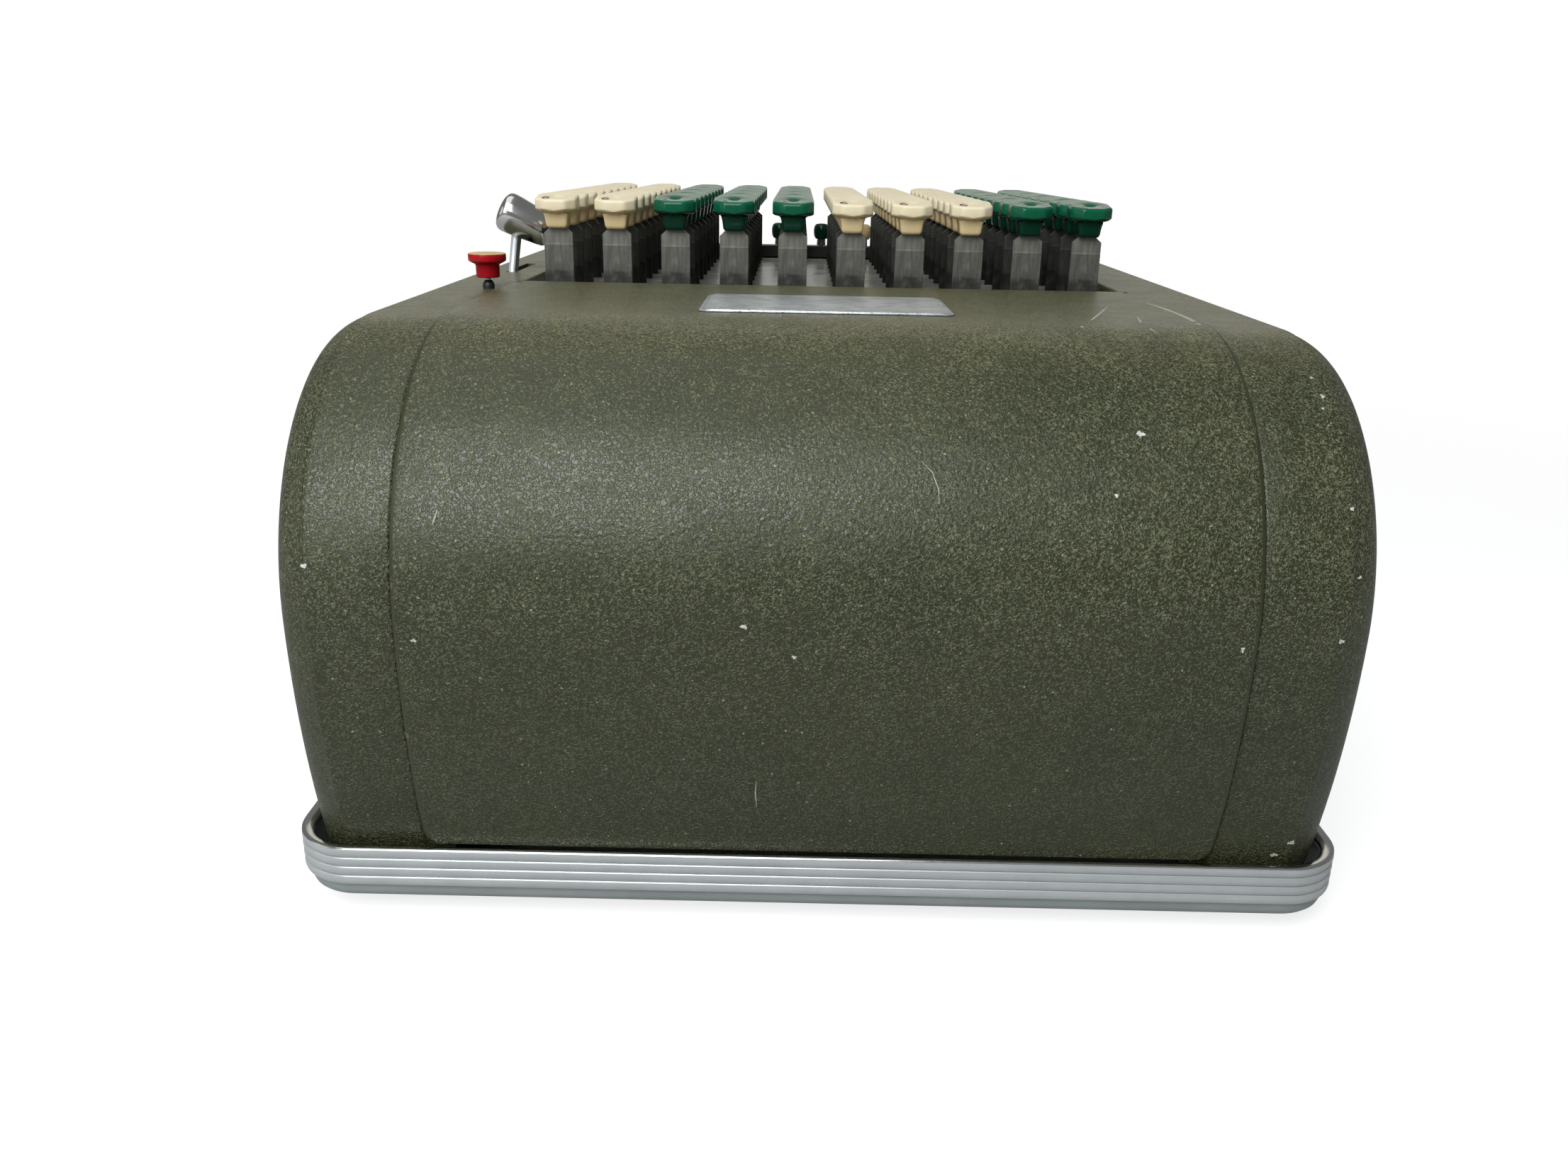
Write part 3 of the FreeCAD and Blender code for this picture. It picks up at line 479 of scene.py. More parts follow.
# Mesh making
class Shape:
    """Gathers lofts and polygons, in millimetres, into one mesh."""

    def __init__(self):
        self.verts = []
        self.faces = []
        self.marks = []

    def add(self, face, mark=0):
        self.faces.append(tuple(face))
        self.marks.append(mark)

    def loft(self, rings, mark=0, ends=(True, True), round_again=False):
        """Skin between closed rings of equal length; mark is one number or one per strip."""
        base = len(self.verts)
        count = len(rings[0])
        for ring in rings:
            self.verts += [tuple(p) for p in ring]
        strips = len(rings) if round_again else len(rings) - 1
        marks = [mark] * strips if isinstance(mark, int) else mark
        for k in range(strips):
            a = base + k * count
            b = base + (k + 1) % len(rings) * count
            for i in range(count):
                j = (i + 1) % count
                self.add((a + i, a + j, b + j, b + i), marks[k])
        if ends[0] and not round_again:
            self.add([base + i for i in reversed(range(count))], marks[0])
        if ends[1] and not round_again:
            self.add([base + (len(rings) - 1) * count + i for i in range(count)], marks[-1])

    def turned(self, profile, sides, place=Matrix.Identity(4), mark=0, ends=(True, True)):
        """Turned piece round local Z from (radius, z) points."""
        turns = [2 * pi * (i + 0.5) / sides for i in range(sides)]
        rings = [[place @ Vector((r * cos(a), r * sin(a), z)) for a in turns] for r, z in profile]
        self.loft(rings, mark, ends)

    def box(self, x0, x1, y0, y1, z0, z1, mark=0, ease=0):
        """Box whose upright and level edges are eased."""
        e = ease
        rings = []
        for z, pull in ((z0, e), (z0 + e, 0), (z1 - e, 0), (z1, e)):
            a0, a1, b0, b1 = x0 + pull, x1 - pull, y0 + pull, y1 - pull
            rings.append([(a0 + e, b0, z), (a1 - e, b0, z), (a1, b0 + e, z), (a1, b1 - e, z),
                          (a1 - e, b1, z), (a0 + e, b1, z), (a0, b1 - e, z), (a0, b0 + e, z)])
        self.loft(rings, mark)

    def mesh(self, name, materials, sharp=32, outward=True):
        """Smooth mesh with sharp creases, without collapsed faces; a skin keeps its face order
        and gets sharp rims."""
        data = bpy.data.meshes.new(name)
        data.from_pydata([(x * MM, y * MM, z * MM) for x, y, z in self.verts], [], self.faces)
        for material in materials:
            data.materials.append(material)
        data.polygons.foreach_set("material_index", self.marks)
        data.shade_smooth()
        data.set_sharp_from_angle(angle=radians(sharp))
        work = bmesh.new()
        work.from_mesh(data)
        bmesh.ops.dissolve_degenerate(work, dist=0.001 * MM, edges=work.edges)
        if outward:
            bmesh.ops.recalc_face_normals(work, faces=work.faces)
        for edge in work.edges:
            if edge.is_boundary:
                edge.smooth = False
        work.to_mesh(data)
        work.free()
        return data


def new_object(name, data):
    made = bpy.data.objects.new(name, data)
    scene.collection.objects.link(made)
    return made


def put(name, data, body, replaces=(), at=(0, 0, 0)):
    """Object from a mesh that rides on a body and may stand for CAD nodes."""
    made = new_object(name, data)
    made.location = [c * MM for c in at]
    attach(made, body)
    if replaces:
        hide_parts(*replaces)
    return made


def solidified(made, thickness):
    """Give a skin its wall, inwards."""
    wall = made.modifiers.new("wall", "SOLIDIFY")
    wall.thickness = thickness * MM
    wall.offset = -1
    return made


# Casing outline in the YZ plane
BACK_CENTRE = (-30.7, 79.9)
BACK_R = 207
CROWN_CENTRE = (114, 79.9)
CROWN_R = 62.3
SHOULDER_R = 9
KNEE_R = 14
FRONT_Y = -172.8
SLOPE = radians(62)
CORNER_Y = -155.5
SLOPE_FOOT = 109.664


def arc_points(centre, radius, start, end, count):
    """Outline points (y, z, normal y, normal z) along an arc; degrees from +Y towards +Z."""
    points = []
    for i in range(count + 1):
        a = radians(start + (end - start) * i / count)
        c, s = cos(a), sin(a)
        points.append((centre[0] + radius * c, centre[1] + radius * s, c, s))
    return points


def flat_points(a, b, count):
    """Points between two outline points, ends left out, with the normal of the first."""
    return [(a[0] + (b[0] - a[0]) * i / count, a[1] + (b[1] - a[1]) * i / count, a[2], a[3])
            for i in range(1, count)]


def outline(bottom):
    """Outline from the rear foot over the top to the front foot, as (y, z, ny, nz). The opening's
    edges come twice, so that a section can step there."""
    dip = degrees(asin((BACK_CENTRE[1] - bottom) / BACK_R))
    points = arc_points(BACK_CENTRE, BACK_R, -dip, 0, 14)[:-1]
    points += arc_points(CROWN_CENTRE, CROWN_R, 0, 90, 40)
    shoulder_y = CORNER_Y + SHOULDER_R * tan(SLOPE / 2)
    for y in (OPEN_REAR, OPEN_FRONT):
        points += flat_points(points[-1], (y, DECK, 0, 1), 16)
        points += [(y, DECK, 0, 1), (y, DECK, 0, 1)]
    turned = 90 + degrees(SLOPE)
    points += arc_points((shoulder_y, DECK - SHOULDER_R), SHOULDER_R, 90, turned, 14)
    knee_z = SLOPE_FOOT - KNEE_R * tan(radians((180 - turned) / 2))
    knee = arc_points((FRONT_Y + KNEE_R, knee_z), KNEE_R, turned, 180, 8)
    points += flat_points(points[-1], knee[0], 10) + knee
    points += flat_points(knee[-1], (FRONT_Y, bottom, -1, 0), 10)
    points.append((FRONT_Y, bottom, -1, 0))
    return points


def skin(path, section, holes=None):
    """Surface over a path of outline points; section(i) gives that station's (x, rise) list."""
    shape = Shape()
    width = len(section(0))
    for i, (y, z, ny, nz) in enumerate(path):
        shape.verts += [(x, y + ny * rise, z + nz * rise) for x, rise in section(i)]
    for i in range(len(path) - 1):
        for j in range(width - 1):
            if holes and holes(i, j):
                continue
            a = i * width + j
            shape.add((a, a + width, a + width + 1, a + 1))
    return shape


# Slot of the cancelling lever
SLOT_X = (105.8, 109.2)
SLOT_Y = (-39.1, -4.1)
# Turn at which the cheek starts behind the crease, and the step down to it
CHEEK_START = radians(34)
CHEEK_STEP = 0.4


def side_casing(sign):
    """One side of the casing: deck margin, rolled lip, soft crease and rounded cheek."""
    path = outline(SIDE_FOOT)
    rear = path.index(next(p for p in path if p[:2] == (OPEN_REAR, DECK)))
    front = path.index(next(p for p in path if p[:2] == (OPEN_FRONT, DECK)))
    middle = path[rear + 1:front + 1] + [(y, DECK, 0, 1) for y in SLOT_Y]
    middle.sort(key=lambda p: -p[0])
    path = path[:rear + 1] + middle + path[front + 1:]
    front = rear + len(middle)

    def section(i):
        if i <= rear:
            edge = [(90.1, -0.5), (96.1, -0.5), (97.2, -0.5), (97.45, -0.12), (97.9, 0)]
        elif i <= front:
            edge = [(96.6, -4), (96.6, -0.9), (96.8, -0.35), (97.2, -0.07), (97.7, 0)]
        else:
            edge = [(109.1, -0.5), (111, -0.5), (112.1, -0.5), (112.35, -0.12), (112.8, 0)]
        inner = edge[-1][0]
        points = edge + [(max(inner, x), 0) for x in (*SLOT_X, 113.5)]
        points += [(CREASE_X - 0.9, 0), (CREASE_X - 0.25, -0.06)]
        low, far = sin(CHEEK_START), cos(CHEEK_START)
        for k in range(13):
            a = CHEEK_START + (pi / 2 - CHEEK_START) * k / 12
            x = CREASE_X + CHEEK * (sin(a) - low) / (1 - low)
            points.append((x, -CHEEK_STEP - (CHEEK - CHEEK_STEP) * (far - cos(a)) / far))
        return [(sign * x, rise) for x, rise in points]

    def holes(i, j):
        return (sign > 0 and j == 5 and rear < i < front
                and SLOT_Y[0] - 0.01 <= path[i + 1][0] and path[i][0] <= SLOT_Y[1] + 0.01)

    shape = skin(path, section, holes)
    width = len(section(0))
    shape.add([i * width + width - 1 for i in range(len(path))])
    if sign < 0:
        shape.faces = [f[::-1] for f in shape.faces]
    return shape


def cover_path(bottom):
    """Rear cover: hem, back, crown, deck and the lip that turns down into the opening."""
    path = [p for p in outline(bottom) if p[0] >= OPEN_REAR or p[1] < DECK - 1]
    path = path[:next(i for i, p in enumerate(path) if p[:2] == (OPEN_REAR, DECK))]
    edge = 1
    centre = (OPEN_REAR + edge, DECK + RISE - edge)
    turn = [(y - ny * RISE, z - nz * RISE, ny, nz)
            for y, z, ny, nz in arc_points(centre, edge, 90, 180, 6)]
    while path[-1][0] < OPEN_REAR + edge + 0.2:
        path.pop()
    low = turn[-1]
    return path + turn + [(low[0], 140.4, -1, 0), (low[0], 138.4, -1, 0)]


# Fall of the rear cover's deck towards the keyboard, rows above its hem, radius of its low corners
LIP_DROP = 1
LIP_REACH = 34
HEM_ROWS = (0, 0.4, 0.9, 1.6, 2.5, 3.6, 5)
HEM_CORNER = 4


def rear_cover():
    """Rear cover; its deck falls a little towards the keyboard and its side edges are rolled."""
    path = cover_path(COVER_FOOT)
    hem = path[0]
    foot = []
    for step in HEM_ROWS:
        a = asin((BACK_CENTRE[1] - hem[1] - step) / BACK_R)
        c, s = cos(a), sin(a)
        foot.append((BACK_CENTRE[0] + BACK_R * c, hem[1] + step, c, -s))
    path = foot + [p for p in path if p[1] > hem[1] + 6]

    def fall(y, z):
        return LIP_DROP * max(0, 1 - (y - OPEN_REAR) / LIP_REACH) ** 1.5 * (z > DECK - 6)

    path = [(y, z - fall(y, z), ny, nz) for y, z, ny, nz in path]

    def section(i):
        half = COVER_X
        top = RISE
        if i < len(foot):
            step = HEM_ROWS[i]
            drop = max(0, HEM_CORNER - step)
            half -= HEM_CORNER - sqrt(HEM_CORNER * HEM_CORNER - drop * drop)
            top += 0.35 * (1 - step / HEM_ROWS[-1]) - 0.5 * max(0, 1 - step / HEM_ROWS[1])
        if path[i][2] < -0.99:
            half = OPEN_X - 0.3
        side = [(half, -0.35), (half, top - 1.05), (half - 0.1, top - 0.6),
                (half - 0.45, top - 0.22), (half - 1.1, top - 0.04), (half - 2.2, top)]
        middle = [(half * t, top) for t in (0.8, 0.55, 0.3, 0.1)]
        right = side + middle
        return right + [(-x, rise) for x, rise in reversed(right)]

    shape = skin(path, section)
    shape.faces = [f[::-1] for f in shape.faces]
    # The rolled side edges take the worn edge paint, pale as wear and as a painted highlight
    strips = len(section(0)) - 1
    for i, face in enumerate(shape.faces):
        if i % strips in (2, 3, strips - 4, strips - 3):
            shape.marks[i] = 1
    return shape


# Half width of a knob's slot, and its ends
KNOB_SLOT_HALF = 1.45
KNOB_SLOT_Y = (-152.5, -145.35)


def spans(count, offset, half):
    """Left and right of one opening per column, from the operator's left."""
    middles = [column_x(k) + offset for k in range(count, 0, -1)]
    return [(x - half, x + half) for x in middles]


WINDOWS = spans(COLUMNS + 1, WINDOW_OFFSET_X, WINDOW_HALF)
KNOB_SLOTS = spans(COLUMNS, KNOB_OFFSET_X, KNOB_SLOT_HALF)


def with_row_at(path, y):
    """The path with one more row, where it crosses y."""
    i = next(i for i, p in enumerate(path) if p[0] < y)
    before, after = path[i - 1:i + 1]
    share = (y - before[0]) / (after[0] - before[0])
    return path[:i] + [tuple(a + share * (b - a) for a, b in zip(before, after))] + path[i:]


def front_cover():
    """Cover over the register, with a window for each wheel and a slot for each knob."""
    flat = [OPEN_FRONT - 0.3, OPEN_FRONT - 1, KNOB_SLOT_Y[1], -147.3]
    path = [(y, DECK, 0, 1) for y in flat]
    path += [p for p in outline(COVER_FOOT) if p[0] < flat[-1] - 0.6 and p[1] >= COVER_FOOT]
    path = with_row_at(path, KNOB_SLOT_Y[0])
    normal = (-sin(SLOPE), cos(SLOPE))
    up = (cos(SLOPE), sin(SLOPE))
    centre = [c - n * RISE for c, n in zip(WINDOW_CENTRE, normal)]
    ends = [(centre[0] + up[0] * d, centre[1] + up[1] * d, *normal) for d in (3.3, 0, -3.3)]
    top = next(i for i, p in enumerate(path) if p[1] < ends[0][1] - 0.1)
    low = next(i for i, p in enumerate(path) if p[1] < ends[2][1] - 0.1)
    path = path[:top] + ends + path[low:]
    slot_rows = [i for i in range(len(path) - 1) if KNOB_SLOT_Y[0] <= path[i + 1][0]
                 and path[i][0] <= KNOB_SLOT_Y[1] + 0.01 and path[i][3] > 0.6]
    # A window's edge and a knob slot's are in line, so they are rounded to make one cut
    cuts = sorted({round(x, 3) for span in WINDOWS + KNOB_SLOTS for x in span})
    side = [(x - FRONT_X, rise)
            for x, rise in ((0, -0.3), (0, 0.3), (0.1, 0.8), (0.5, 1.15), (1.2, RISE))]
    across = side + [(x, RISE) for x in cuts] + [(-x, rise) for x, rise in reversed(side)]

    def inside(openings, j):
        x = (across[j][0] + across[j + 1][0]) / 2
        return any(a < x < b for a, b in openings)

    def holes(i, j):
        return (top <= i < top + 2 and inside(WINDOWS, j)) or (
            i in slot_rows and inside(KNOB_SLOTS, j))

    return skin(path, lambda i: across, holes)


for name, node, shape, paints, wall in (
        ("casing_side_right", "side_casing_right", side_casing(1), [ENAMEL], SIDE_WALL),
        ("casing_side_left", "side_casing_left", side_casing(-1), [ENAMEL], SIDE_WALL),
        ("casing_rear_panel", "rear_cover", rear_cover(), [ENAMEL, EDGE_WEAR_AND_HIGHLIGHT], COVER_WALL),
        ("casing_front_panel", "front_cover", front_cover(), [ENAMEL], COVER_WALL)):
    solidified(put(name, shape.mesh(name, paints, 50, False), "casing", [node]), wall)
# Dark lip along the front of the opening: painted shade, for the keys' shade on this wall
lip = Shape()
lip.box(-96.3, 96.3, OPEN_FRONT - 1.5, OPEN_FRONT, 138.2, DECK + RISE - 0.05, 0, 0.4)
put("front_panel_lip", lip.mesh("front_panel_lip", [DARK_AND_SHADE]), "casing")


# Chips and scratches in the enamel, laid by their place in the photograph
def back_point(x, turn, lift):
    """Point on the rear of the casing: degrees up the crown, below zero down the back, and over 90
    millimetres forward along the deck."""
    rise = lift + (RISE if abs(x) < COVER_X else 0)
    if turn > 90:
        return x, CROWN_CENTRE[0] + 90 - turn, DECK + rise
    centre, radius = (CROWN_CENTRE, CROWN_R) if turn >= 0 else (BACK_CENTRE, BACK_R)
    a = radians(turn)
    return x, centre[0] + (radius + rise) * cos(a), centre[1] + (radius + rise) * sin(a)


def degrees_per_mm(turn):
    return 1 if turn > 90 else degrees(1 / (CROWN_R if turn >= 0 else BACK_R))


# Each chip is (x, turn, half width)
CHIPS = ((116.4, 13, 1), (92.3, -0.6, 0.8), (-70.3, 44.2, 1.3), (-64, 30.5, 0.7),
         (-116.5, 29, 0.7), (-118.2, 15, 0.6), (-115.6, 1.5, 0.9), (-93.4, 0, 0.6), (18, 2.5, 1),
         (-113.4, 62, 0.6), (-114.3, 56, 0.9), (-113.5, 52.5, 0.5), (-115.8, -15.2, 1.1),
         (-112.6, -16.4, 1.2), (6.7, -1.2, 0.8))
CHIP_CORNERS = 9
chips = Shape()
for n, (x, turn, size) in enumerate(CHIPS):
    step = degrees_per_mm(turn)
    rings = []
    for lift, grow in ((-0.1, 1), (0.03, 0.92)):
        ring = []
        for k in range(CHIP_CORNERS):
            a = 2 * pi * k / CHIP_CORNERS
            ragged = 0.75 + 0.25 * sin(2.3 * k + 1.7 * n) + 0.15 * sin(5.1 * k + n)
            r = size * grow * ragged
            ring.append(back_point(x + r * cos(a), turn + 0.8 * r * sin(a) * step, lift))
        rings.append(ring)
    chips.loft(rings)
put("enamel_chips", chips.mesh("enamel_chips", [BARE]), "casing")

# Each scratch is its width and its (x, turn) points
SCRATCHES = ((0.6, ((-61, 77.5), (-63.5, 83), (-68, 92), (-74, 108), (-79, 122))),
             (0.6, ((-81.8, 100), (-80, 90), (-80.2, 82), (-81, 79))),
             (1.2, ((-93.4, 134), (-94.6, 121), (-95, 110), (-94.8, 98), (-94.2, 88),
                    (-93.2, 80))),
             (0.2, ((-20.9, 37), (-23.3, 34.5), (-24.6, 31), (-24.7, 28))),
             (0.35, ((86.4, 25), (86.8, 23.4), (87.4, 21.8))),
             (0.3, ((15, -10.4), (15.2, -11.4), (14.9, -12.6))))
scratches = Shape()
for width, path in SCRATCHES:
    rings = []
    for k, (x, turn) in enumerate(path):
        (x0, t0), (x1, t1) = path[max(k - 1, 0)], path[min(k + 1, len(path) - 1)]
        scale = degrees_per_mm(turn)
        along = Vector((x1 - x0, (t1 - t0) / scale)).normalized()
        w = width / 2 * (0.3 if k in (0, len(path) - 1) else 1 + 0.4 * sin(3.1 * k))
        sx, st = -along.y * w, along.x * w * scale
        rings.append([back_point(x + sx, turn + st, -0.1), back_point(x + sx, turn + st, 0.02),
                      back_point(x - sx, turn - st, 0.02), back_point(x - sx, turn - st, -0.1)])
    scratches.loft(rings)
put("enamel_scratches", scratches.mesh("enamel_scratches", [RUBBED]), "casing")

# Keyboard plate with a slot for each stem
STEM_SLOT = (5, 1)
PLATE_ENDS_X = (-112, 100)
PLATE_ENDS_Y = (OPEN_FRONT, 38.4)
PLATE_TOP = 137.9
PLATE_WALL = 1.5


def lanes(ends, middles, half):
    """Cuts across the plate, and whether there are slots between each two of them."""
    cuts = sorted({*ends} | {m + s * half for m in middles for s in (-1, 1)})
    return cuts, [any(abs((a + b) / 2 - m) < half for m in middles) for a, b in zip(cuts, cuts[1:])]


xs, slot_x = lanes(PLATE_ENDS_X, [column_x(c) for c in range(1, COLUMNS + 1)], STEM_SLOT[0])
ys, slot_y = lanes(PLATE_ENDS_Y, [row_y(r) for r in range(1, ROWS + 1)], STEM_SLOT[1])
plate = Shape()
plate.verts = [(x, y, PLATE_TOP) for y in ys for x in xs]
for i in range(len(ys) - 1):
    for j in range(len(xs) - 1):
        if not (slot_x[j] and slot_y[i]):
            a = i * len(xs) + j
            plate.add((a, a + 1, a + len(xs) + 1, a + len(xs)))
plate_mesh = plate.mesh("keyboard_plate_slotted", [PLATE_PAINT], 40, False)
solidified(put("keyboard_plate_slotted", plate_mesh, "casing",
               ["keyboard_plate"]), PLATE_WALL)


# Keys. The dish and the dimple are (radius, depth); the neck's rows (height, half width), the
# flange's underside (height, radius), its eased rim (depth below the top, pull inwards), and the
# rows of the top shares of the way out from the middle
CAP_SIDES = 64
CAP_CHAMFER = 3.2
DISH = (4.65, 0.22)
DIMPLE = (2.2, 0.45)
NECK = ((158.6, 2.5), (158.72, 2.9), (159.05, 3.25), (159.7, 3.5), (160.8, 3.62), (162.3, 3.85),
        (163.1, 4.1))
UNDERSIDE = ((163.5, 4.75), (163.66, 5.5), (163.85, 6.15), (164.1, 6.6), (164.4, 7),
             (164.75, 7.4), (165.1, 8))
RIM = ((0.8, 0), (0.55, 0.06), (0.33, 0.18), (0.16, 0.36), (0.05, 0.62), (0, 0.9))
TOP_ROWS = (0.94, 0.88, 0.82, 0.76, 0.7, 0.64, 0.58, 0.52, 0.45, 0.36, 0.25, 0.12)


def flange_reach(c, s, p=34):
    """Distance to the eased eight-sided outline of a flange, along a direction."""
    corner = (abs(c) + abs(s)) / (2 * CAP_HALF - CAP_CHAMFER)
    return ((abs(c) / CAP_HALF) ** p + (abs(s) / CAP_HALF) ** p + corner ** p) ** (-1 / p)


def neck_reach(half, c, s, p=9):
    """Distance to a neck's square outline with round corners."""
    return half * (abs(c) ** p + abs(s) ** p) ** (-1 / p)


def top_height(x, y, hollow):
    """Height of a cap's top: sloping to the rear, dished with a dimple on every other row."""
    z = CAP_TOP - (y + CAP_HALF) * CAP_FALL
    if hollow:
        for radius, depth in (DISH, DIMPLE):
            z -= depth * max(0, 1 - (x * x + y * y) / radius ** 2) ** 1.3
    return z


def add_cap(shape, y, hollow):
    """Flanged cap on a tapering neck: the flange's underside is turned, its side eight-sided."""
    turns = [2 * pi * (i + 0.5) / CAP_SIDES for i in range(CAP_SIDES)]
    around = [(cos(a), sin(a)) for a in turns]
    rings = []

    def ring(reach, height):
        row = []
        for c, s in around:
            r = reach(c, s)
            row.append((c * r, y + s * r, height(c * r, s * r)))
        rings.append(row)

    for z, half in NECK:
        ring(lambda c, s: neck_reach(half, c, s), lambda px, py: z)
    for z, radius in UNDERSIDE:
        ring(lambda c, s: min(radius, flange_reach(c, s)), lambda px, py: z)
    for depth, pull in RIM:
        ring(lambda c, s: flange_reach(c, s) - pull,
             lambda px, py: top_height(px, py, False) - depth)
    for share in TOP_ROWS:
        ring(lambda c, s: (flange_reach(c, s) - RIM[-1][1]) * share,
             lambda px, py: top_height(px, py, hollow))
    shape.loft(rings)


# Stem: (bottom, top, half thickness, cut corner's width and height) of its two steps
STEM_HALF = 4.7
STEM_EASE = 0.12
STEM_STEPS = ((153.5, CAP_BOTTOM, 0.6, (1.9, 1.6)), (108.4, 153.5, 0.7, (0.15, 0.15)))


def add_stem(shape, y, mark):
    """Flat stem with cut upper corners, a step in its thickness and eased edges."""
    e = STEM_EASE
    for low, high, thick, cut in STEM_STEPS:
        rings = []
        for dy, pull in ((-thick, e), (-thick + e, 0), (thick - e, 0), (thick, e)):
            h = STEM_HALF - pull
            rings.append([(-h, y + dy, low), (h, y + dy, low), (h, y + dy, high - cut[1]),
                          (h - cut[0] + pull, y + dy, high), (-h + cut[0] - pull, y + dy, high),
                          (-h, y + dy, high - cut[1])])
        shape.loft(rings, mark)


def text_mesh(text, height):
    """Flat mesh of a number, its height in millimetres, centred on the origin."""
    curve = bpy.data.curves.new("number", "FONT")
    curve.body = text
    curve.size = 10
    curve.resolution_u = 3
    holder = new_object("number", curve)
    bpy.context.view_layer.update()
    evaluated = holder.evaluated_get(bpy.context.evaluated_depsgraph_get())
    data = bpy.data.meshes.new_from_object(evaluated)
    points = [v.co.copy() for v in data.vertices]
    faces = [tuple(p.vertices) for p in data.polygons]
    bpy.data.objects.remove(holder)
    bpy.data.curves.remove(curve)
    bpy.data.meshes.remove(data)
    lo = Vector((min(p.x for p in points), min(p.y for p in points)))
    hi = Vector((max(p.x for p in points), max(p.y for p in points)))
    middle = (lo + hi) / 2
    k = height / (hi.y - lo.y)
    return [((p.x - middle.x) * k, (p.y - middle.y) * k) for p in points], faces


NUMBERS = {d: text_mesh(str(d), 1) for d in range(10)}


def add_number(shape, digit, height, place, mark):
    """Put a number into a shape; place turns its flat (x, y) into a point."""
    points, faces = NUMBERS[digit]
    base = len(shape.verts)
    shape.verts += [place(x * height, y * height) for x, y in points]
    for face in faces:
        shape.add([base + i for i in face], mark)


def is_hollow(row):
    return row % 2 == 1


def key_column_mesh(name, cap):
    """Nine keys; only the rear one's stem has the lit steel, the others' the darker copy painted as
    shade.
    """
    shape = Shape()
    for row in range(1, ROWS + 1):
        add_cap(shape, row_y(row), is_hollow(row))
        add_stem(shape, row_y(row), 1 if row == ROWS else 2)
    return shape.mesh(name, [cap, STEEL, SHADED_STEEL], 34)


KEY_NUMBER_HEIGHT = 4.4
KEY_NUMBER_PLACE = (2.9, 3)
KEY_NUMBER_LIFT = 0.06


def key_number_mesh(name, number_ink):
    """The row's number on each of nine caps."""
    shape = Shape()
    for row in range(1, ROWS + 1):

        def on_top(x, v):
            x, v = x + KEY_NUMBER_PLACE[0], v + KEY_NUMBER_PLACE[1]
            return x, row_y(row) + v, top_height(x, v, is_hollow(row)) + KEY_NUMBER_LIFT

        add_number(shape, row, KEY_NUMBER_HEIGHT, on_top, 0)
    return shape.mesh(name, [number_ink], 34, False)


meshes = {}
for colour, cap, number in (("cream", CREAM_CAP, DARK_INK), ("green", GREEN_CAP, PALE_INK)):
    meshes[colour] = key_column_mesh("keys_" + colour, cap)
    meshes[colour + "_numbers"] = key_number_mesh("key_numbers_" + colour, number)
for index in range(1, COLUMNS + 1):
    colour = "cream" if index in CREAM else "green"
    node = "key_column_%02d" % index
    at = (column_x(index), 0, 0)
    put("keys_%02d" % index, meshes[colour], node, [node], at)
    put("key_numbers_%02d" % index, meshes[colour + "_numbers"], node, (), at)

# Cut-off knobs: a stem with its ferrule, and the head, as (radius, height)
FERRULE = ((1.2, 136.6), (1.2, 143.7), (1.9, 143.7), (2, 144), (1.9, 146.6))
HEAD = ((1.6, 146.4), (2.4, 146.5), (3, 147.1), (3.4, 148.2), (3.5, 149.5), (3.45, 150.8),
        (3.1, 152.2), (2.4, 152.9), (1.4, 153.15), (0.5, 153.2))
for colour, cap in (("cream", CREAM_CAP), ("green", GREEN_CAP)):
    knob = Shape()
    knob.turned(FERRULE, 24, mark=1)
    knob.turned(HEAD, 24)
    meshes["knob_" + colour] = knob.mesh("knob_" + colour, [cap, DULL], 40)
for index in range(1, COLUMNS + 1):
    colour = "cream" if index in CREAM else "green"
    node = "cut_off_knob_%02d" % index
    put("knob_%02d" % index, meshes["knob_" + colour], node, [node],
        (column_x(index) + KNOB_OFFSET_X, KNOB_Y, 0))

# Numeral wheels: round drum with figures, and a toothed pinion. The drum's outline is (radius,
# place across), a tooth's (share of the tooth pitch, radius), and 0 faces the window at rest
WHEEL = Vector((0, -155.2, 111))
FIGURES = 10
DRUM_OUTLINE = ((2.6, -1.8), (8.9, -1.8), (9.4, -1.5), (9.4, 5.5), (8.9, 5.8), (2.6, 5.8))
TOOTH = ((-0.3, 3.3), (-0.13, 4.85), (0.13, 4.85), (0.3, 3.3))
PINION_X = (-4.7, -1.7)
FIGURE_RADIUS = 9.45
FIGURE_HEIGHT = 4.6


def wheel_mesh():
    shape = Shape()
    turn = Matrix.Rotation(radians(90), 4, "Y")
    shape.turned(DRUM_OUTLINE, 48, Matrix.Translation(WHEEL) @ turn, 0, (False, False))
    teeth = []
    for i in range(FIGURES):
        for share, r in TOOTH:
            a = 2 * pi * (i + share) / FIGURES
            teeth.append((r * cos(a), r * sin(a)))
    shape.loft([[(x, WHEEL.y + y, WHEEL.z + z) for y, z in teeth] for x in PINION_X], 1)
    for digit in range(FIGURES):
        middle = radians(90) + SLOPE + radians(360 / FIGURES * digit)

        def wrap(x, v):
            a = middle - v / FIGURE_RADIUS
            return (WINDOW_OFFSET_X + x, WHEEL.y + FIGURE_RADIUS * cos(a),
                    WHEEL.z + FIGURE_RADIUS * sin(a))

        add_number(shape, digit, FIGURE_HEIGHT, wrap, 2)
    return shape.mesh("numeral_wheel", [DRUM, OILED, DARK_INK], 34)


wheel = wheel_mesh()
for index in range(1, COLUMNS + 2):
    node = "numeral_wheel_%02d" % index
    put("wheel_%02d" % index, wheel, node, [node], (column_x(index), 0, 0))

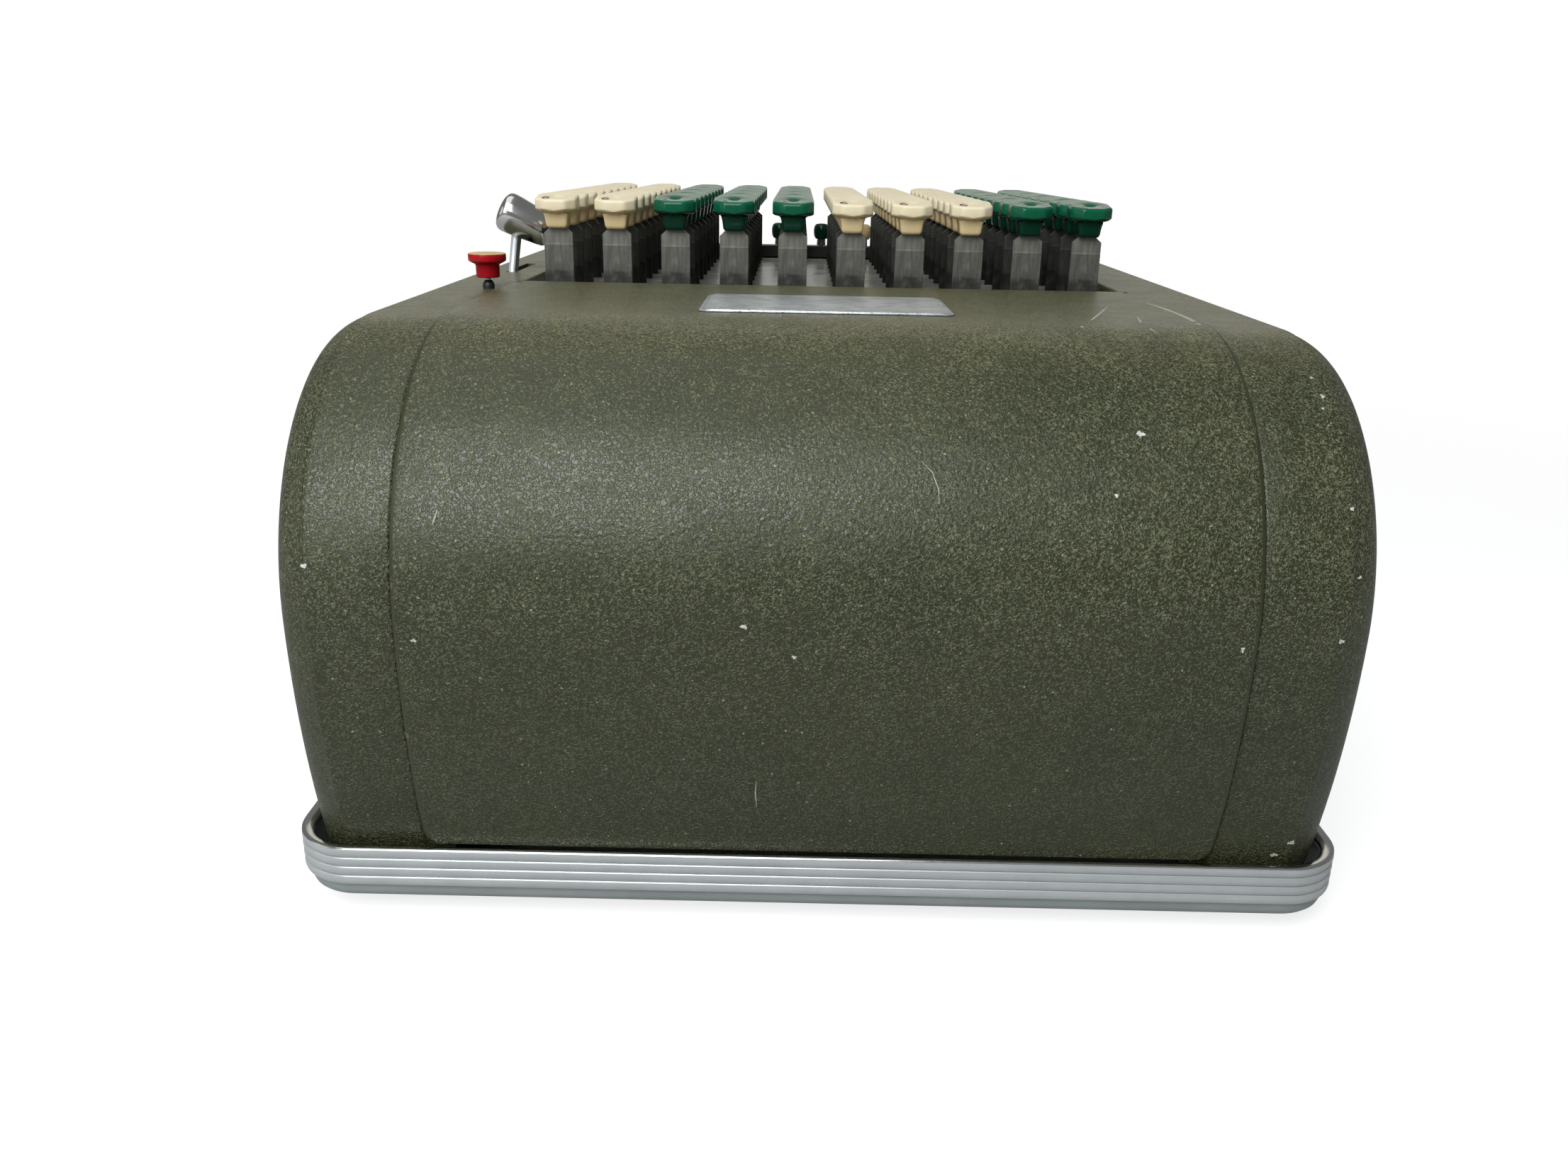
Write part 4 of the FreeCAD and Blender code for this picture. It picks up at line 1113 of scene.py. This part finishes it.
# Window frames on the sloping face; their section is (growth, height over the face)
BEZEL_HALF = (3.45, 3.25)
BEZEL = ((0, -0.6), (0, 0.25), (0.25, 0.4), (0.8, 0.4), (1.05, 0.15), (1.05, -0.1))
bezels = Shape()
slope_turn = Matrix.Rotation(SLOPE, 4, "X")
for a, b in WINDOWS:
    place = Matrix.Translation((0.5 * (a + b), *WINDOW_CENTRE)) @ slope_turn
    rings = []
    for grow, z in BEZEL:
        hx, hy = (half + grow for half in BEZEL_HALF)
        corners = ((-hx, -hy), (hx, -hy), (hx, hy), (-hx, hy))
        rings.append([place @ Vector((x, y, z)) for x, y in corners])
    bezels.loft(rings, 0, (False, False), True)
put("window_frames", bezels.mesh("window_frames", [DULL], 30), "casing")


# Base: pan, ribbed band and feet. Sections are (inset from the band's face, height)
BASE_HALF = 131.4
BASE_REAR = 171.94
BASE_FRONT = -177.6
BASE_CORNER = 15.6
CORNER_STEPS = 12
RIBS = 4
RIBS_FROM = 9.65
RIB_PITCH = 10.1 / RIBS
RIB_DEPTH = 0.42
GROOVE_DEPTH = 0.62
BAND_LIP = ((0.25, 19.45), (0.1, 19.65), (0.25, 19.88), (0.6, 20), (1.1, 20), (1.7, 19.9),
            (2.3, 19.68), (2.8, 19.35), (3.15, 18.9), (3.2, 18.5), (2.9, 18.3), (1.4, 18.6),
            (1.3, 18.4))
PAN = ((3, 17.5), (1.4, 17.4), (1.4, 8.4), (1.5, 7.4), (1.9, 6.3), (2.7, 5.5), (3.8, 5.05),
       (5.2, 5))
FOOT = ((7.6, 0), (8.3, 0.15), (8.8, 0.7), (9.9, 4.6), (10, 5))
FOOT_X = (-107.4, 107.4)
FOOT_Y = (-153.6, 147.94)


def rounded(left, right, front, rear, radius, steps):
    """Points round a rectangle with round corners, from the one at the right rear."""
    points = []
    for turn, (x, y) in enumerate(((right - radius, rear - radius), (left + radius, rear - radius),
                                   (left + radius, front + radius),
                                   (right - radius, front + radius))):
        for k in range(steps + 1):
            a = pi / 2 * (turn + k / steps)
            points.append((x + radius * cos(a), y + radius * sin(a)))
    return points


def base_sweep(shape, profile, mark=0, closed=True):
    """Sweep a section round the base; an open one is closed at its low end."""
    rings = []
    for inset, z in profile:
        half = BASE_HALF - inset
        around = rounded(-half, half, BASE_FRONT + inset, BASE_REAR - inset, BASE_CORNER - inset,
                         CORNER_STEPS)
        rings.append([(x, y, z) for x, y in around])
    shape.loft(rings, mark, (False, not closed), closed)


band = Shape()
profile = [(1.2, 9.7), (0.75, RIBS_FROM)]
for rib in range(RIBS):
    low = RIBS_FROM + rib * RIB_PITCH
    for t in (0.05, 0.14, 0.3, 0.5, 0.7, 0.86, 0.95):
        bulge = sin(pi * t) ** 0.7
        profile.append((RIB_DEPTH - RIB_DEPTH * bulge, low + RIB_PITCH * t))
    if rib < RIBS - 1:
        profile.append((GROOVE_DEPTH, low + RIB_PITCH))
base_sweep(band, [*profile, *BAND_LIP], [0] * len(profile) + [1] * len(BAND_LIP))
put("ribbed_band", band.mesh("ribbed_band", [BAND, CHROME], 42), "casing", ["trim_band"])

pan = Shape()
base_sweep(pan, PAN, 0, False)
put("pressed_pan", pan.mesh("pressed_pan", [GREY], 40), "casing", ["base_pan"])

feet = Shape()
for x in FOOT_X:
    for y in FOOT_Y:
        feet.turned(FOOT, 40, Matrix.Translation((x, y, 0)))
put("round_feet", feet.mesh("round_feet", [RUBBER], 40), "casing", ["rubber_feet"])

# Plate on the rear cover, left bare, with a folded flange at each end, over a dark shadow line.
# Rows are (inset at the ends, inset front and rear, corner radius, height over the cover)
PLATE_HALF = (33.5, 19.2)
PLATE_Y = 91.3
SHADOW_ROWS = ((0, 0, 2.6, -0.05), (0, 0, 2.6, 0.06), (0.3, 0.3, 2.4, 0.1))
PLATE_ROWS = ((0.25, 0.25, 2.5, 0.05), (0.2, 0.2, 2.5, 0.22), (0.35, 0.3, 2.4, 0.34),
              (1.35, 0.42, 2.2, 0.56), (1.5, 0.44, 2.1, 0.46), (1.7, 0.46, 2, 0.46),
              (1.85, 0.5, 1.9, 0.66), (2.3, 0.9, 1.6, 0.72))


def plate_ring(in_x, in_y, radius, rise):
    """Outline inside the plate's edge."""
    hx, hy = PLATE_HALF[0] - in_x, PLATE_HALF[1] - in_y
    return [(x, y, DECK + RISE + rise)
            for x, y in rounded(-hx, hx, PLATE_Y - hy, PLATE_Y + hy, radius, 4)]


top = Shape()
top.loft([plate_ring(*row) for row in SHADOW_ROWS], 1)
top.loft([plate_ring(*row) for row in PLATE_ROWS], 0)
put("bare_top_plate", top.mesh("bare_top_plate", [SILVER, DARK_AND_SHADE], 24), "casing",
    ["top_plate"])


# Cancelling lever: flat arm, leaning bar and domed grip
def slab(shape, outline_points, x0, x1, ease, mark=0):
    """Plate of a (y, z) outline with eased rims."""
    middle = Vector((sum(p[0] for p in outline_points), sum(p[1] for p in outline_points)))
    middle /= len(outline_points)
    rings = []
    for x, pull in ((x0, ease), (x0 + ease, 0), (x1 - ease, 0), (x1, ease)):
        ring = []
        for y, z in outline_points:
            v = Vector((y, z)) - middle
            v *= 1 - pull / max(v.length, 1)
            ring.append((x, middle.x + v.x, middle.y + v.y))
        rings.append(ring)
    shape.loft(rings, mark)


ARM = ((-48.25, 55.5), (-43.75, 51), (-34.75, 51), (-30.25, 55.5), (-5.6, 134.2), (-5.6, 141),
       (-6.2, 143.1), (-14.6, 156), (-15.8, 157.2), (-17.8, 157.7), (-19.7, 157.2),
       (-20.7, 155.6), (-20.2, 154.3), (-11.9, 143.1), (-11.3, 141), (-11.3, 134.2),
       (-43.75, 69), (-48.25, 64.5))
ARM_X = (106.4, 108.6)
ARM_EASE = 0.35
GRIP_PLACE = (103.4, -15.95, 158.6)
GRIP_TILT = 24.7
GRIP = ((0.8, 9.9), (2.8, 9.8), (4.6, 9.5), (5.8, 9), (6.5, 8.3), (6.8, 7.4), (6.85, 6.4),
        (6.8, 4.5), (6.3, -1), (5.75, -6), (5.45, -7.8), (5.1, -8.4), (4.5, -8.75), (0.8, -8.8))
lever = Shape()
slab(lever, ARM, *ARM_X, ARM_EASE, 1)
tilt = Matrix.Translation(GRIP_PLACE) @ Matrix.Rotation(radians(90 - GRIP_TILT), 4, "Y")
lever.turned(GRIP, 56, tilt)
put("cancel_lever_fine", lever.mesh("cancel_lever_fine", [CHROME, BAND], 40), "cancel_lever",
    ["cancel_lever"])

# Release key, and the bushing it slides in, as (radius, height)
RELEASE_PLACE = (101.9, 50.2, 0)
RELEASE_STEM = ((0.75, 133), (0.75, 149))
RELEASE_NECK = ((0.7, 148.9), (2.3, 148.9), (2.4, 148.7), (2.4, 145.6), (2.6, 145.5), (3.2, 145.5),
                (3.45, 145.7), (3.5, 146.2), (3.55, 148.9), (3.65, 149.3))
RELEASE_FLARE = ((3.65, 149.3), (4.1, 149.6), (5.2, 150.15), (5.55, 150.4), (5.65, 150.7),
                 (5.65, 152.3), (5.58, 152.45))
RELEASE_TOP = ((5.58, 152.45), (5.4, 152.62), (4.9, 152.7), (2.5, 152.62), (0.5, 152.6))
BUSHING = ((1, 142), (1.75, 142.15), (1.8, 142.9), (1.7, 143.6), (1.4, 144.25),
           (1, 144.65), (0.8, 144.7))
spot = Matrix.Translation(RELEASE_PLACE)
key = Shape()
key.turned(RELEASE_STEM, 24, spot, 2)
key.turned(RELEASE_NECK, 48, spot, 3, (True, False))
key.turned(RELEASE_FLARE, 48, spot, 0, (False, False))
key.turned(RELEASE_TOP, 48, spot, 1, (False, True))
put("release_key_fine", key.mesh("release_key_fine", [RED_CAP, TAN_TOP, DULL, RED_NECK], 36),
    "release_key", ["release_key"])
bushing = Shape()
bushing.turned(BUSHING, 32, spot)
put("release_bushing", bushing.mesh("release_bushing", [DARK_AND_SHADE], 60), "casing")

# Materials of the CAD nodes that stay
STEEL_NODES = ["guide_plate", "frame_right", "frame_left", "lever_shaft", "wheel_shaft", "tie_rods"]
STEEL_NODES += ["column_lever_%02d" % k for k in range(1, COLUMNS + 1)]
for name in (*STEEL_NODES, "register_lens"):
    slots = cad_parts[name].data.materials
    slots.clear()
    slots.append(LENS if name == "register_lens" else OILED)

# Floor, light and camera. The floor glows for the camera, and is plain white further out
AMBIENT = 0.06
FLOOR_HALF = 6
FLOOR_GLOW = 0.75
FLOOR_FADE = (0.32, 0.75)


floor_mesh = bpy.data.meshes.new("floor")
h = FLOOR_HALF
floor_mesh.from_pydata([(-h, -h, 0), (h, -h, 0), (h, h, 0), (-h, h, 0)], [], [(0, 1, 2, 3)])
floor = new_object("floor", floor_mesh)
floor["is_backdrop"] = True
m = Mat("pale_floor")
m.colour(m.between(m.noise(400, 2), (0.4, 0.4, 0.4), (0.43, 0.43, 0.43)))
m.set(Roughness=0.9, Specular_IOR_Level=0.1)
seen = m.seen()
glow = m.node("Emission")
m.link(m.times(seen, FLOOR_GLOW), glow.inputs["Strength"])
both = m.node("AddShader")
m.link(m.shader.outputs[0], both.inputs[0])
m.link(glow.outputs[0], both.inputs[1])
length = m.node("VectorMath", operation="LENGTH")
m.link(m.place, length.inputs[0])
far = m.ramp(length.outputs["Value"], [(FLOOR_FADE[0], 0), (FLOOR_FADE[1], 1)])
white = m.node("Emission")
m.link(m.choice(m.times(far, seen), both.outputs[0], white.outputs[0]), m.out.inputs[0])
floor_mesh.materials.append(m.mat)

world = bpy.data.worlds.new("studio")
scene.world = world
sky = Tree(world, "OutputWorld")
backs = []
for strength in (AMBIENT, 1):
    back = sky.node("Background", {"Color": (1, 1, 1, 1), "Strength": strength})
    backs.append(back.outputs[0])
sky.link(sky.choice(sky.seen(), *backs), sky.out.inputs[0])


def lamp(name, place, aim, size, watts, tint=(1, 1, 1), shines=True):
    """Soft rectangular lamp, in metres; one that doesn't shine gives light but no reflection."""
    data = bpy.data.lights.new(name, "AREA")
    data.color = tint
    data.shape = "RECTANGLE"
    data.size, data.size_y = size
    data.energy = watts
    made = new_object(name, data)
    made.location = place
    made.rotation_euler = (Vector(aim) - Vector(place)).to_track_quat("-Z", "Y").to_euler()
    made.visible_glossy = shines


lamp("key", (0.29, 1, 1), (0.03, 0.17, 0.1), (0.7, 1), 17.5, (0.93, 0.97, 1))
lamp("top", (0.3, 0, 1.5), (0, 0, 0.1), (1.4, 1), 4.8)
lamp("left", (1.3, 0.5, 0.6), (0, 0.1, 0.08), (0.8, 0.8), 1.5)
lamp("near_left", (0.45, 0.85, 0.4), (0.08, 0.15, 0.08), (0.4, 0.4), 0.8)
lamp("front", (0, -1.6, 0.6), (0, 0, 0.12), (1.8, 0.6), 2, (1, 0.97, 0.86))
lamp("low_front", (0, -1.4, 0.07), (0, 0, 0.07), (1.6, 0.12), 5, shines=False)

# Camera, as solved from the key grid: focal length in pixels of the photograph's width, place in
# metres, and pitch, roll and yaw in degrees
FOCAL = 1725 / 2212
SENSOR = 36
CAMERA_PLACE = (0.0074, 0.43175, 0.1819)
CAMERA_TURN = (19.47, 1.03, -0.41)
camera_data = bpy.data.cameras.new("camera")
camera_data.sensor_fit = "HORIZONTAL"
camera_data.sensor_width = SENSOR
camera_data.lens = FOCAL * SENSOR
camera_data.clip_start = 0.01
camera = new_object("camera", camera_data)
pitch, roll, yaw = (radians(a) for a in CAMERA_TURN)
level = cos(pitch)
forward = Vector((sin(yaw) * level, cos(yaw) * level, -sin(pitch)))
right = Vector((cos(yaw), -sin(yaw), 0))
down = forward.cross(right)
across = cos(roll) * right - sin(roll) * down
under = sin(roll) * right + cos(roll) * down
turn = Matrix((across, -under, -forward)).transposed()
flip = Matrix.Diagonal((-1, -1, 1))
camera.matrix_world = Matrix.Translation(CAMERA_PLACE) @ (flip @ turn).to_4x4()
scene.camera = camera

scene.view_settings.view_transform = "Standard"
low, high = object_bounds()
